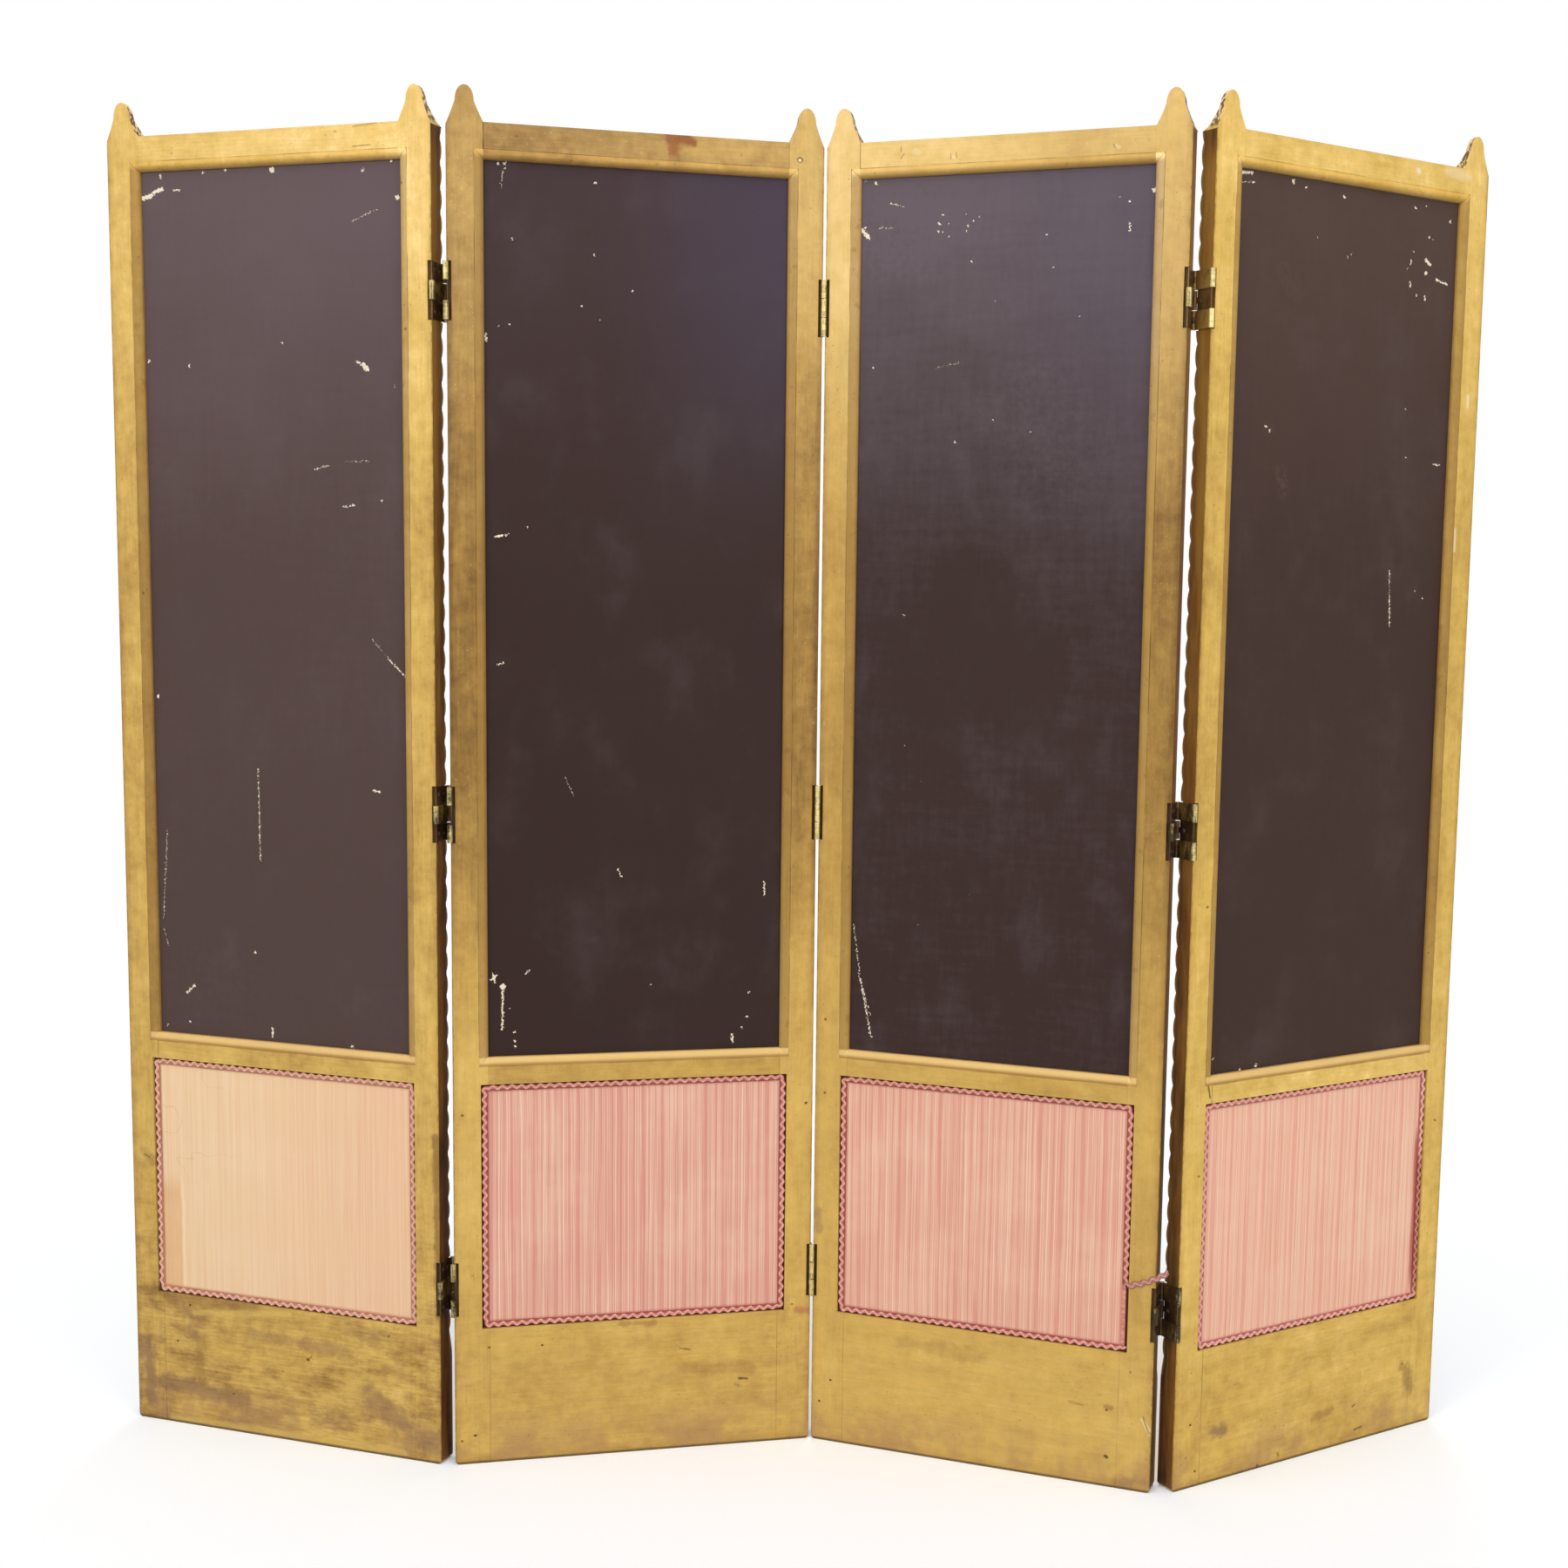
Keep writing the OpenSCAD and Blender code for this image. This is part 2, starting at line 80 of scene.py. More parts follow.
# Hinge axes, counted from a panel's own edge and its plain back
AXIS_X = -0.0015
BACK_AXIS = -0.002
FRONT_AXIS = 0.0335
HINGES = (0.256, 0.928, 1.630)
NOTCH_HALF = 0.039
TURN_2 = math.radians(13.1)
PANELS = (1, 2, 3, 4)


def panel_places():
    """Each panel's place: panel 2 from its turn, the others from the joints beside them."""
    joints = {j["name"]: j for j in frame["joints"]}

    def pin(name):
        return Vector(joints[name]["pos_m"][:2] + [0])

    def fold(name):
        return -math.radians(joints[name]["range_deg"][0])

    def hung(name, turn, x, y):
        own = Matrix.Rotation(turn, 3, "Z") @ Vector((x, y, 0))
        return Matrix.Translation(pin(name) - own) @ Matrix.Rotation(turn, 4, "Z")

    turn_3 = TURN_2 - fold("fold_23")
    far = WIDTH - AXIS_X
    return {
        1: hung("fold_12", TURN_2 - fold("fold_12"), far, FRONT_AXIS),
        2: hung("fold_12", TURN_2, AXIS_X, FRONT_AXIS),
        3: hung("fold_23", turn_3, AXIS_X, BACK_AXIS),
        4: hung("fold_34", turn_3 + fold("fold_34"), AXIS_X, FRONT_AXIS),
    }


PLACE = panel_places()


def tone(red, green, blue):
    """A colour given as it looks on screen, 0 to 255, as linear light."""
    def linear(c):
        c /= 255
        return c / 12.92 if c <= 0.04045 else ((c + 0.055) / 1.055) ** 2.4
    return (linear(red), linear(green), linear(blue), 1.0)


class Term:
    """A socket of a shader. Arithmetic on it adds Math nodes."""

    def __init__(self, nodes, socket):
        self.nodes, self.socket = nodes, socket

    def math(self, operation, *others):
        return self.nodes.node("Math", {"operation": operation}, dict(enumerate((self, *others))))

    def __add__(self, other):
        return self.math("ADD", other)

    def __mul__(self, other):
        return self.math("MULTIPLY", other)

    def __sub__(self, other):
        return self.math("SUBTRACT", other)

    def __rsub__(self, other):
        return self.nodes.node("Math", {"operation": "SUBTRACT"}, {0: other, 1: self})

    def __abs__(self):
        return self.math("ABSOLUTE")

    __radd__, __rmul__ = __add__, __mul__

    def least(self, other):
        return self.math("MINIMUM", other)

    def most(self, other):
        return self.math("MAXIMUM", other)

    def ramp(self, low, high):
        """0 at low and 1 at high, with a smooth step between; low may be the higher one."""
        step = self.nodes.node("MapRange", {"interpolation_type": "SMOOTHSTEP"}, {
            "Value": self, "From Min": min(low, high), "From Max": max(low, high)})
        return step if low < high else 1 - step

    def within(self, low, high, soft):
        """1 between low and high, fading over soft at both ends."""
        return self.ramp(low - soft, low) * self.ramp(high + soft, high)


class Nodes:
    """The node tree of a material or of the world."""

    def __init__(self, owner):
        owner.use_nodes = True
        self.tree = owner.node_tree

    def feed(self, inputs, values):
        for name, value in values.items():
            if isinstance(value, Term):
                self.tree.links.new(value.socket, inputs[name])
            else:
                inputs[name].default_value = value

    def node(self, kind, settings, inputs, output=0):
        made = self.tree.nodes.new("ShaderNode" + kind)
        for name, value in settings.items():
            if name == "stops":
                ramp = made.color_ramp
                for place, colour in value[1:-1]:
                    ramp.elements.new(place).color = colour
                ramp.elements[0].position, ramp.elements[0].color = value[0]
                ramp.elements[-1].position, ramp.elements[-1].color = value[-1]
            else:
                setattr(made, name, value)
        self.feed(made.inputs, inputs)
        return Term(self, made.outputs[output])

    def first(self, name, **sockets):
        """The shader that the tree starts with, its sockets set."""
        shader = self.tree.nodes[name]
        self.feed(shader.inputs, {key.replace("_", " "): value for key, value in sockets.items()})
        return Term(self, shader.outputs[0])


class Finish(Nodes):
    """A material of one panel. Its patterns follow the panel's own x, y and z."""

    def __init__(self, name, panel=1):
        self.material = bpy.data.materials.new(name)
        super().__init__(self.material)
        self.panel = panel
        place = PLACE[panel].inverted()
        self.point = self.node("Mapping", {}, {
            "Vector": self.node("TexCoord", {}, {}, "Object"),
            "Location": place.translation, "Rotation": (0, 0, place.to_euler().z)})
        self.x, self.y, self.z = (self.node("SeparateXYZ", {}, {0: self.point}, k) for k in range(3))
        self.even = self.scaled()

    def scaled(self, x=1, y=1, z=1):
        """The panel's point with each axis scaled, and moved so that no two panels match."""
        return self.node("Mapping", {}, {
            "Vector": self.point, "Scale": (x, y, z), "Location": (self.panel * 17.3, 0, self.panel * 5.1)})

    def noise(self, fine, detail=2, roughness=0.5, output=0):
        """Noise that is this fine all round, or in x, y and z."""
        drawn_out = isinstance(fine, tuple)
        return self.node("TexNoise", {}, {
            "Vector": self.scaled(*fine) if drawn_out else self.even, "Scale": 1 if drawn_out else fine,
            "Detail": detail, "Roughness": roughness}, output)

    def cells(self, fine, output="Distance"):
        return self.node("TexVoronoi", {}, {"Vector": self.even, "Scale": fine}, output)

    def channel(self, colour, number=0):
        return self.node("SeparateColor", {}, {0: colour}, number)

    def blend(self, share, first, second, way="MIX"):
        return self.node("Mix", {"data_type": "RGBA", "blend_type": way}, {
            0: share, 6: first, 7: second}, 2)

    def lay(self, share, colour, way="MIX"):
        """Lays a colour over what the finish has so far."""
        self.colour = self.blend(share, self.colour, colour, way)

    def colours(self, share, *stops):
        return self.node("ValToRGB", {"stops": stops}, {0: share})

    def flat_point(self):
        """The point with its depth left out, for marks on a face."""
        return self.node("CombineXYZ", {}, {0: self.x, 2: self.z})

    def vectors(self, operation, *inputs, output=0):
        return self.node("VectorMath", {"operation": operation}, dict(enumerate(inputs)), output)

    def from_mark(self, point, *ends):
        """Distance from a spot on the panel's face, by its x and z in millimetres, or from a
        straight stroke by both its ends."""
        x, z, *far = (n * MM for n in ends)
        start = Vector((x, 0, z))
        if not far:
            return self.vectors("DISTANCE", point, start, output="Value")
        along = Vector((far[0], 0, far[1])) - start
        offset = self.vectors("SUBTRACT", point, start)
        share = self.vectors("DOT_PRODUCT", offset, along / along.length_squared, output="Value")
        share = self.node("Math", {"operation": "MULTIPLY", "use_clamp": True}, {0: share, 1: 1})
        nearest = self.node("CombineXYZ", {}, {0: share * along.x, 2: share * along.z})
        return self.vectors("DISTANCE", offset, nearest, output="Value")

    def bump(self, height, depth, strength=1.0):
        return self.node("Bump", {}, {"Height": height, "Distance": depth, "Strength": strength})

    def set(self, **sockets):
        """The material, with its colour and its other sockets set."""
        self.first("Principled BSDF", Base_Color=self.colour, **sockets)
        return self.material


# How bright the gilding is on each panel, as shares of its range of tones: the left and the
# right edge at the foot, low, in the middle and at the top. It is partly the gold's own uneven tone
# and partly painted light and reflection, which make the tops brighter and the middle darker
GILT_TONE_AND_LIGHT = {
    1: ((0.44, 0.56, 0.50, 0.62), (0.54, 0.56, 0.54, 0.76)),
    2: ((0.54, 0.62, 0.20, 0.34), (0.54, 0.60, 0.22, 0.51)),
    3: ((0.60, 0.56, 0.42, 0.73), (0.60, 0.48, 0.20, 0.51)),
    4: ((0.62, 0.72, 0.55, 0.74), (0.64, 0.68, 0.58, 0.74)),
}
# The same for what its rails add (bottom, middle, top), and its left and right beads; the beads'
# share is painted light, brighter on the beads that face the light
RAILS = {1: (0.05, 0.0, 0.02), 2: (0.0, -0.15, -0.11), 3: (0.0, 0.0, 0.0), 4: (0.0, 0.06, 0.0)}
BEADS = {1: (0.0, 0.20), 2: (0.24, 0.22), 3: (0.16, 0.42), 4: (0.08, 0.0)}
# How pale and pinkish its top is, and how yellow the whole of it is
PALENESS = {1: (0.15, 0.0), 2: (1.0, 0.0), 3: (1.3, 0.0), 4: (0.0, 0.8)}
# How uneven its tone is
UNEVEN = {1: 1.1, 2: 0.75, 3: 0.65, 4: 1.05}
# How dirty its lower part is, and how plainly its joint lines show at the lower left, lower
# right, upper left and upper right
GRIME = {1: 1.0, 2: 0.28, 3: 0.18, 4: 0.28}
JOINTS = {1: (0.5, 0.1, 0.1, 0.1), 2: (0.3, 0.3, 1.0, 0.5), 3: (0.3, 0.2, 0.6, 0.1),
          4: (0.5, 0.2, 0.15, 0.1)}
# Half width of a joint line and of a crack, where they end and where they are full
JOINT_LINE = 0.0011, 0.0003
CRACK = 0.0012, 0.0004
# The gold from its darkest to its palest
GILT_TONES = ((0.0, tone(92, 62, 30)), (0.22, tone(152, 117, 60)), (0.42, tone(189, 151, 79)),
              (0.64, tone(214, 178, 97)), (0.82, tone(232, 196, 120)), (1.0, tone(252, 222, 156)))

# Marks on the gilding of each panel, in millimetres: kind, x and z of both ends, half width; and
# then strength
# PALE_AND_GLINT marks are partly pale rubs and scratches and partly painted highlights, such as the glint on
# panel 2's nail head and the sheen on panel 3's top rail
DARK, RED, PALE_AND_GLINT, YELLOW = tone(62, 40, 30), tone(170, 92, 74), tone(240, 226, 190), tone(232, 200, 110)
PURPLE, BROWN, RUST = tone(142, 108, 80), tone(132, 96, 54), tone(140, 82, 46)
GILT_MARKS = {
    1: ((BROWN, 504, 475, 504.5, 215, 6, 0.65), (BROWN, 64, 194, 10, 200, 6, 0.45),
        (DARK, 391.2, 1820.7, 417.8, 1821.7, 0.8, 0.6), (RUST, 391.6, 1846.6, 427.4, 1849.2, 1.4, 0.4),
        (RUST, 363.5, 1841.2, 365, 1841, 2.6, 0.5), (DARK, 20, 403, 29, 399, 1.6, 0.6),
        (PURPLE, 16, 110, 22, 30, 16, 0.75), (PURPLE, 50, 58, 180, 50, 13, 0.6),
        (BROWN, 60, 187, 200, 190, 10, 0.5), (YELLOW, 100, 172, 262, 190, 5, 0.4),
        (PURPLE, 200, 154, 350, 146, 9, 0.4), (PURPLE, 400, 80, 490, 30, 18, 0.6),
        (YELLOW, 60, 6, 450, 8, 6, 0.4), (BROWN, 18, 410, 34, 395, 7, 0.4),
        (BROWN, 105, 130, 110, 70, 10, 0.4), (DARK, 293, 127.5, 298, 131, 1.2, 0.6),
        (DARK, 69.9, 125.3, 71, 125.3, 1.6, 0.9), (DARK, 92.6, 182.6, 94, 182.6, 1.6, 0.9),
        (DARK, 164.5, 56.8, 166, 57, 1.6, 0.9), (DARK, 290.9, 125.3, 293, 125.5, 3, 0.85)),
    2: ((RUST, 298, 1843, 301.5, 1829, 8.5, 0.8), (RUST, 312, 1846, 328, 1841, 6, 0.85),
        (RED, 488, 196, 507, 194, 5, 0.5), (BROWN, 236, 192, 280, 190, 6, 0.45),
        (BROWN, 320, 120, 420, 112, 8, 0.25), (DARK, 498, 505.5, 499, 505.5, 2.2, 0.9),
        (DARK, 120.9, 168.3, 122, 168, 1.8, 0.9), (DARK, 26.6, 41.4, 28, 41.4, 2.2, 0.9),
        (DARK, 481, 205.6, 482, 205.6, 1.8, 0.9), (DARK, 405, 98.5, 416, 97.5, 2.2, 0.75),
        (DARK, 318, 150, 332, 147, 1.6, 0.55), (BROWN, 398, 90, 404, 88, 2, 0.5),
        (DARK, 473.7, 1827.2, 474, 1827.2, 4.2, 0.9), (PALE_AND_GLINT, 473.7, 1827.2, 474, 1827.2, 2.4, 0.95)),
    3: ((PURPLE, 8, 345, 9, 318, 6, 0.4), (PALE_AND_GLINT, 493, 106, 505, 84, 1.2, 0.6),
        (PALE_AND_GLINT, 498, 104, 507, 90, 1, 0.6), (BROWN, 140, 165, 260, 160, 10, 0.2),
        (DARK, 11.9, 58.6, 13, 58.6, 1.8, 0.9), (DARK, 29.3, 93.1, 30, 93.1, 1.6, 0.9),
        (DARK, 444, 44, 446.2, 43, 3, 0.85), (BROWN, 443, 116, 449, 115, 4.2, 0.45),
        (DARK, 496, 110, 504, 86, 1.1, 0.5), (BROWN, 390, 115, 410, 113, 2, 0.35),
        (PURPLE, 460, 10, 500, 16, 10, 0.45), (DARK, 107.5, 1842, 107.6, 1835, 1, 0.5),
        (DARK, 107.5, 1826, 112, 1832, 1, 0.5), (PALE_AND_GLINT, 128, 1835, 133, 1833, 4.5, 0.2),
        (DARK, 178.5, 1829, 179, 1822, 0.9, 0.5), (DARK, 186.5, 1830, 187, 1823, 0.9, 0.5),
        (PALE_AND_GLINT, 181.5, 1825, 184, 1823, 2.6, 0.3), (DARK, 403, 1829, 405, 1825, 0.9, 0.45),
        (PALE_AND_GLINT, 407, 1827, 410, 1825, 2.6, 0.25)),
    4: ((BROWN, 452, 90, 460, 62, 13, 0.5), (DARK, 344, 54, 349, 56, 2.2, 0.7),
        (DARK, 350, 17, 364, 19, 2, 0.6), (DARK, 158.2, 4, 159, 4, 3, 0.7),
        (BROWN, 197.7, 14, 198.5, 11, 3, 0.7), (PURPLE, 75, 72, 90, 72, 9, 0.75),
        (BROWN, 304, 59, 264, 51, 5, 0.35), (PALE_AND_GLINT, 474.1, 1345, 474.1, 1315, 3, 0.5),
        (PALE_AND_GLINT, 366.5, 1835.7, 369, 1835.7, 5, 0.7), (PALE_AND_GLINT, 425, 1842, 470, 1840, 7, 0.35),
        (PALE_AND_GLINT, 487.3, 1535, 487.3, 1520, 4, 0.6), (DARK, 38.5, 588, 45, 558, 1.8, 0.75),
        (DARK, 36.2, 700, 36.5, 585, 1, 0.6), (DARK, 40.1, 22.4, 41, 22.4, 2, 0.9),
        (DARK, 29.1, 92.2, 30, 92.2, 1.8, 0.9), (DARK, 490, 470, 491, 470, 1.8, 0.9)),
}


def centred(count):
    """Where a count lies in its repeat, -0.5 to 0.5; 100 repeats more keep it above 0."""
    return (count + 100.5).math("FRACT") - 0.5


def dome(along, across, half_along, middle, half_across):
    first = along * (1 / half_along)
    second = (across - middle) * (1 / half_across)
    return (1 - first * first - second * second).most(0)


def carved_border(f, inward, upright):
    """Carving on the far side, leaves along the border, each with its vein, and pearls inside
    them: the border's share, and how high its relief stands."""
    sideways = centred((f.x - SCALLOP_X) * (1 / SCALLOP))
    run = sideways + (centred((f.z - SCALLOP_Z) * (1 / SCALLOP)) - sideways) * upright
    inset = (HEIGHT - f.z) + (inward - (HEIGHT - f.z)) * upright
    leaf = dome(run, inset, *LEAF) * (0.55 + abs(run).ramp(0.0, 0.09) * 0.45)
    pearl = dome(centred(run * 2), inset, *PEARL) * 0.7
    border = f.y.ramp(FRONT - 0.0006, FRONT - 0.0002) * inset.ramp(BORDER + 0.0005, BORDER - 0.0005)
    return border * f.z.ramp(0.186, 0.189), leaf.math("SQRT").most(pearl.math("SQRT"))


def lay_marks(f, marks, patches, mottling):
    """Lays marks on the plain back; the broad ones have ragged edges."""
    face = f.flat_point()
    back = 1 - f.y.ramp(0.018, 0.022)
    for mark, *ends, half, strength in marks:
        ragged = (patches - 0.5) * 2.6 + (mottling - 0.5) * 2.2 if half > 4 else (mottling - 0.5) * 1.6
        soft = 1.5 if half > 4.5 else 1.15
        half *= MM
        away = f.from_mark(face, *ends) + ragged * half
        f.lay(away.ramp(half * soft, half * 0.3) * back * strength, mark)


def frame_cracks(f, panel, inward, upright, groups):
    """Joint lines between stiles and rails, and the cracks along the beads."""
    z = f.z
    broken = groups.ramp(0.40, 0.56)
    rails = (z.ramp(COVER_BOTTOM, COVER_BOTTOM - 0.002) + z.within(COVER_TOP, SILL, 0.001)
             + z.ramp(OPENING_TOP, OPENING_TOP + 0.001)).least(1)
    low_left, low_right, high_left, high_right = JOINTS[panel]
    across = f.x.ramp(0.1, 0.4)
    lower = across * (low_right - low_left) + low_left
    upper = across * (high_right - high_left) + high_left
    plain = lower + (upper - lower) * z.ramp(0.8, 1.4)
    joint = abs(inward - STILE).ramp(*JOINT_LINE) * rails * (broken * 0.5 + 0.5) * plain
    bead_side = abs(inward - (STILE - BEAD + 0.0002)).ramp(*CRACK) * z.within(
        SILL - BEAD, OPENING_TOP + BEAD, 0.001)
    bead_end = (abs(z - (OPENING_TOP + BEAD)).ramp(*CRACK)
                + abs(z - (SILL - BEAD)).ramp(*CRACK)).least(1) * (1 - upright)
    cracks = joint.most(bead_side * broken * 0.8).most(bead_end * (broken * 0.4 + 0.1)) * 0.85
    return cracks * f.y.ramp(0.003, 0.0005)


def lay_edges(f, inward, carved, patches, strokes):
    """Lays on the frame's dark side faces and hollows, partly painted shade, a painted contact shadow at the
    foot, and its arrises, partly worn and partly painted shade.
    """
    y, z = f.y, f.z
    # Side faces, dark brown: partly stain and partly painted shade of the joints they sit in
    edge = inward.ramp(0.0006, 0.0002) * y.ramp(0.0002, 0.0012)
    flank = edge * z.ramp(HEIGHT + 0.001, HEIGHT - 0.003)
    flank = flank + y.ramp(WOOD + 0.0002, WOOD + 0.0008) * inward.ramp(0.0052, 0.0046) * 0.75
    seen = strokes + z.ramp(0.4, 1.7) * 0.30 - z.ramp(1.79, 1.85) * 0.34
    flank_stain_and_shade = f.colours(seen, (0.36, tone(48, 28, 16)), (0.58, tone(112, 66, 30)),
                      (0.84, tone(140, 100, 42)))
    f.lay(flank.least(1) * 0.92, flank_stain_and_shade)
    # The carved flanks of the finials: the carving is painted on, with painted shade in its hollows and
    # painted highlights on its lobes
    lobes = f.noise((60, 240, 150), 2).ramp(0.46, 0.56)
    upper_side = y.ramp(0.0008, 0.0020) * z.ramp(HEIGHT - 0.004, HEIGHT + 0.003) * (1 - carved)
    f.lay(upper_side * 0.85, f.blend(lobes, tone(66, 44, 28), tone(224, 196, 150)))
    # Painted contact shadow: a dark line along the foot
    foot = z.ramp(0.0050, 0.0016) * y.ramp(0.0006, 0.0001)
    f.lay(foot * 0.85, tone(72, 60, 42))
    # The notches round the hinge barrels, painted dark as the shade inside them
    hinged = sum(abs(z - middle).ramp(NOTCH_HALF + 0.0003, NOTCH_HALF - 0.0003) for middle in HINGES)
    notch = inward.ramp(0.0063, 0.0059) * y.ramp(0.0003, 0.0007) * y.ramp(0.0051, 0.0048) * hinged
    f.lay(notch * 0.88, tone(66, 42, 24))
    # Arrises darkened, partly worn and partly painted shade of their rounding, and the shade of the braid's
    # edge
    edges = (inward.ramp(0.0026, 0.0004) + z.ramp(0.0040, 0.0008)).least(1) * y.ramp(0.0006, 0.0001)
    bare = f.noise(60, 2).ramp(0.42, 0.58) * 0.5 + 0.2
    f.lay(edges * bare, tone(128, 100, 48))
    opening = (COVER_BOTTOM - z).most(z - COVER_TOP).most(STILE - inward)
    shade = opening.ramp(0.0050, 0.0002) * z.ramp(0.60, 0.57) * (patches.ramp(0.40, 0.60) * 0.4)
    f.lay(shade, tone(120, 84, 50))


def lay_bead_shades(f, inward):
    """Lays on the beads' mitres, painted shade under the top one and beside the glass, a painted
    highlight on the top of the sill bead, and painted shade on its lower edge."""
    z = f.z
    f.lay(f.noise(48, 3).ramp(0.62, 0.70) * 0.3, tone(120, 86, 46))
    sideways = STILE - inward
    mitre = abs(sideways - (z - OPENING_TOP)).least(abs(sideways - (SILL - z))).ramp(0.0008, 0.0002)
    f.lay(mitre * sideways.ramp(0.0, 0.0008) * 0.55, tone(112, 76, 34))
    # Painted shade under the top bead and beside the glass
    shade = (z.ramp(OPENING_TOP + BEAD * 0.8, OPENING_TOP) * 0.55).most(
        f.y.ramp(GLASS_BACK - 0.002, GLASS_BACK) * 0.4)
    f.lay(shade, tone(112, 82, 50))
    # Painted highlight on the sill bead's top, and painted shade on its lower edge
    sill = z.ramp(SILL + 0.0005, SILL - 0.001) * z.ramp(SILL - BEAD, SILL - BEAD * 0.5)
    f.lay(sill * 0.6, tone(250, 212, 140))
    f.lay(z.ramp(SILL - BEAD * 0.55, SILL - BEAD) * 0.5, tone(176, 130, 66))


def gilding(panel, beads=False):
    """Worn gold paint: a plain brushed back, dark edges in the joints, and richer carving with painted shade
    in its hollows and painted light on its crowns.
    """
    f = Finish(f"{'bead' if beads else 'frame'}_gilding_{panel}", panel)
    x, y, z = f.x, f.y, f.z
    inward = x.least(WIDTH - x)
    far_side = x * (1 / WIDTH)
    upright = inward.ramp(STILE + 0.0004, STILE - 0.0004)
    clouds = f.noise(6, 3, 0.6)
    patches = f.noise((16, 16, 11), 4, 0.6)
    mottling = f.noise(52, 4, 0.65)
    groups = f.noise(10, 3, 0.7)

    def along_grain(cross, along, detail):
        """Noise drawn out along each piece of the frame."""
        up = f.noise((cross, 60, along), detail, 0.6)
        level = f.noise((along, 60, cross), detail, 0.6)
        return level + (up - level) * upright

    strokes = along_grain(70, 9, 4)
    grain = along_grain(330, 18, 2)
    brushed = along_grain(38, 5, 5)

    def side(levels):
        foot, low, middle, top = levels
        return (foot + z.ramp(0.10, 0.34) * (low - foot) + z.ramp(0.50, 1.02) * (middle - low)
                + z.ramp(1.25, 1.78) * (top - middle))

    # Brightness up each edge: partly the gold's own tone, partly painted light and reflection
    left, right = (side(levels) for levels in GILT_TONE_AND_LIGHT[panel])
    level = left + (right - left) * far_side
    if beads:
        # Painted light on the beads, brighter on those that face the light
        left, right = BEADS[panel]
        level = level + (x.ramp(0.06, 0.44) * (right - left) + left) * upright
    else:
        bottom, middle, top = RAILS[panel]
        rail = z.ramp(0.30, 0.40) * (middle - bottom) + z.ramp(1.0, 1.4) * (top - middle) + bottom
        level = level + rail * (1 - upright)
    level = level + ((clouds - 0.5) * 0.40 + (patches - 0.5) * 0.42 + (mottling - 0.5) * 0.44
                     + (brushed - 0.5) * 0.30 + (strokes - 0.5) * 0.16 + (grain - 0.5) * 0.20) * UNEVEN[panel]
    # The carved far side: painted shade darkens its ground, and it grows lighter toward its front
    carved = y.ramp(WOOD - 0.0006, WOOD + 0.0002)
    raised = y.ramp(WOOD + 0.001, FRONT)
    level = level + carved * (raised * 0.50 - 0.34)

    # Dirt along the outer edges and brushed over the lower part
    rim = inward.ramp(0.011, 0.0005).most(z.ramp(0.020, 0.001))
    level = level - rim * ((patches - 0.5) * 0.6 + 0.10)
    low = z.ramp(0.46, 0.12) * (1 - carved)
    dirt = (f.noise((9, 60, 26), 6, 0.72) + (clouds - 0.5) * 0.6).ramp(0.44, 0.70)
    hatching = f.noise((26, 60, 260), 3, 0.7)
    level = level - (dirt * 0.26 + (hatching - 0.5) * 0.5) * low * GRIME[panel]
    if not beads:
        border, relief = carved_border(f, inward, upright)
        # Painted shade in the carving's hollows and painted light on its leaves and pearls, which are only a
        # bump
        level = level - border * relief.ramp(0.55, 0.10) * 0.55 + border * relief * 0.12
    f.colour = f.colours(level, *GILT_TONES)
    pale, golden = PALENESS[panel]
    if pale:
        f.lay(z.ramp(1.2, 1.75) * pale, (1.0, 1.035, 1.34, 1), "MULTIPLY")
    if golden:
        f.lay(golden, (1.0, 0.985, 0.85, 1), "MULTIPLY")
    f.lay(brushed.ramp(0.50, 0.62) * 0.4, (1.03, 0.99, 0.84, 1), "MULTIPLY")
    if beads:
        f.lay(1.0, (1.0, 0.93, 0.76, 1), "MULTIPLY")
    f.lay(dirt * patches.ramp(0.38, 0.62) * low * (0.55 * GRIME[panel]), PURPLE)
    if not beads:
        risen = z.ramp(0.090, 0.004) * groups.ramp(0.40, 0.62) * (1 - carved)
        f.lay(risen * 0.7, tone(176, 136, 92))

    # Flecks and fine scratches, in groups, and pale rubbed spots
    flecks = f.noise(230, 2, 0.6)
    hair = along_grain(520, 22, 1)
    worn = groups.ramp(0.47, 0.60)
    f.lay((flecks.ramp(0.645, 0.70) * 0.55).most(hair.ramp(0.69, 0.75) * 0.3) * worn, tone(104, 72, 34))
    rubbed = (0.5 - flecks).ramp(0.135, 0.19) * groups.ramp(0.54, 0.40)
    f.lay(rubbed * 0.22, tone(246, 228, 178))
    if not beads:
        lay_marks(f, GILT_MARKS[panel], patches, mottling)

    # Sparse specks, where a cell's own random number is high
    dots = f.cells(26).ramp(0.075, 0.03)
    chosen = f.channel(f.cells(26, "Color")).ramp(0.74, 0.77)
    f.lay(dots * chosen * 0.75, tone(84, 58, 34))

    height = strokes * 0.4 + grain * 0.3 + mottling * 0.35 + flecks * 0.15
    if beads:
        lay_bead_shades(f, inward)
    else:
        cracks = frame_cracks(f, panel, inward, upright, groups)
        f.lay(cracks, tone(70, 46, 22))
        lay_edges(f, inward, carved, patches, strokes)
        height = height - cracks * 1.2 + border * relief * 5
    return f.set(Metallic=carved * 0.35 + 0.08, Roughness=0.62 - mottling * 0.16 - carved * 0.12,
                 Specular_IOR_Level=0.16, Normal=f.bump(height, 0.0007, 0.55))


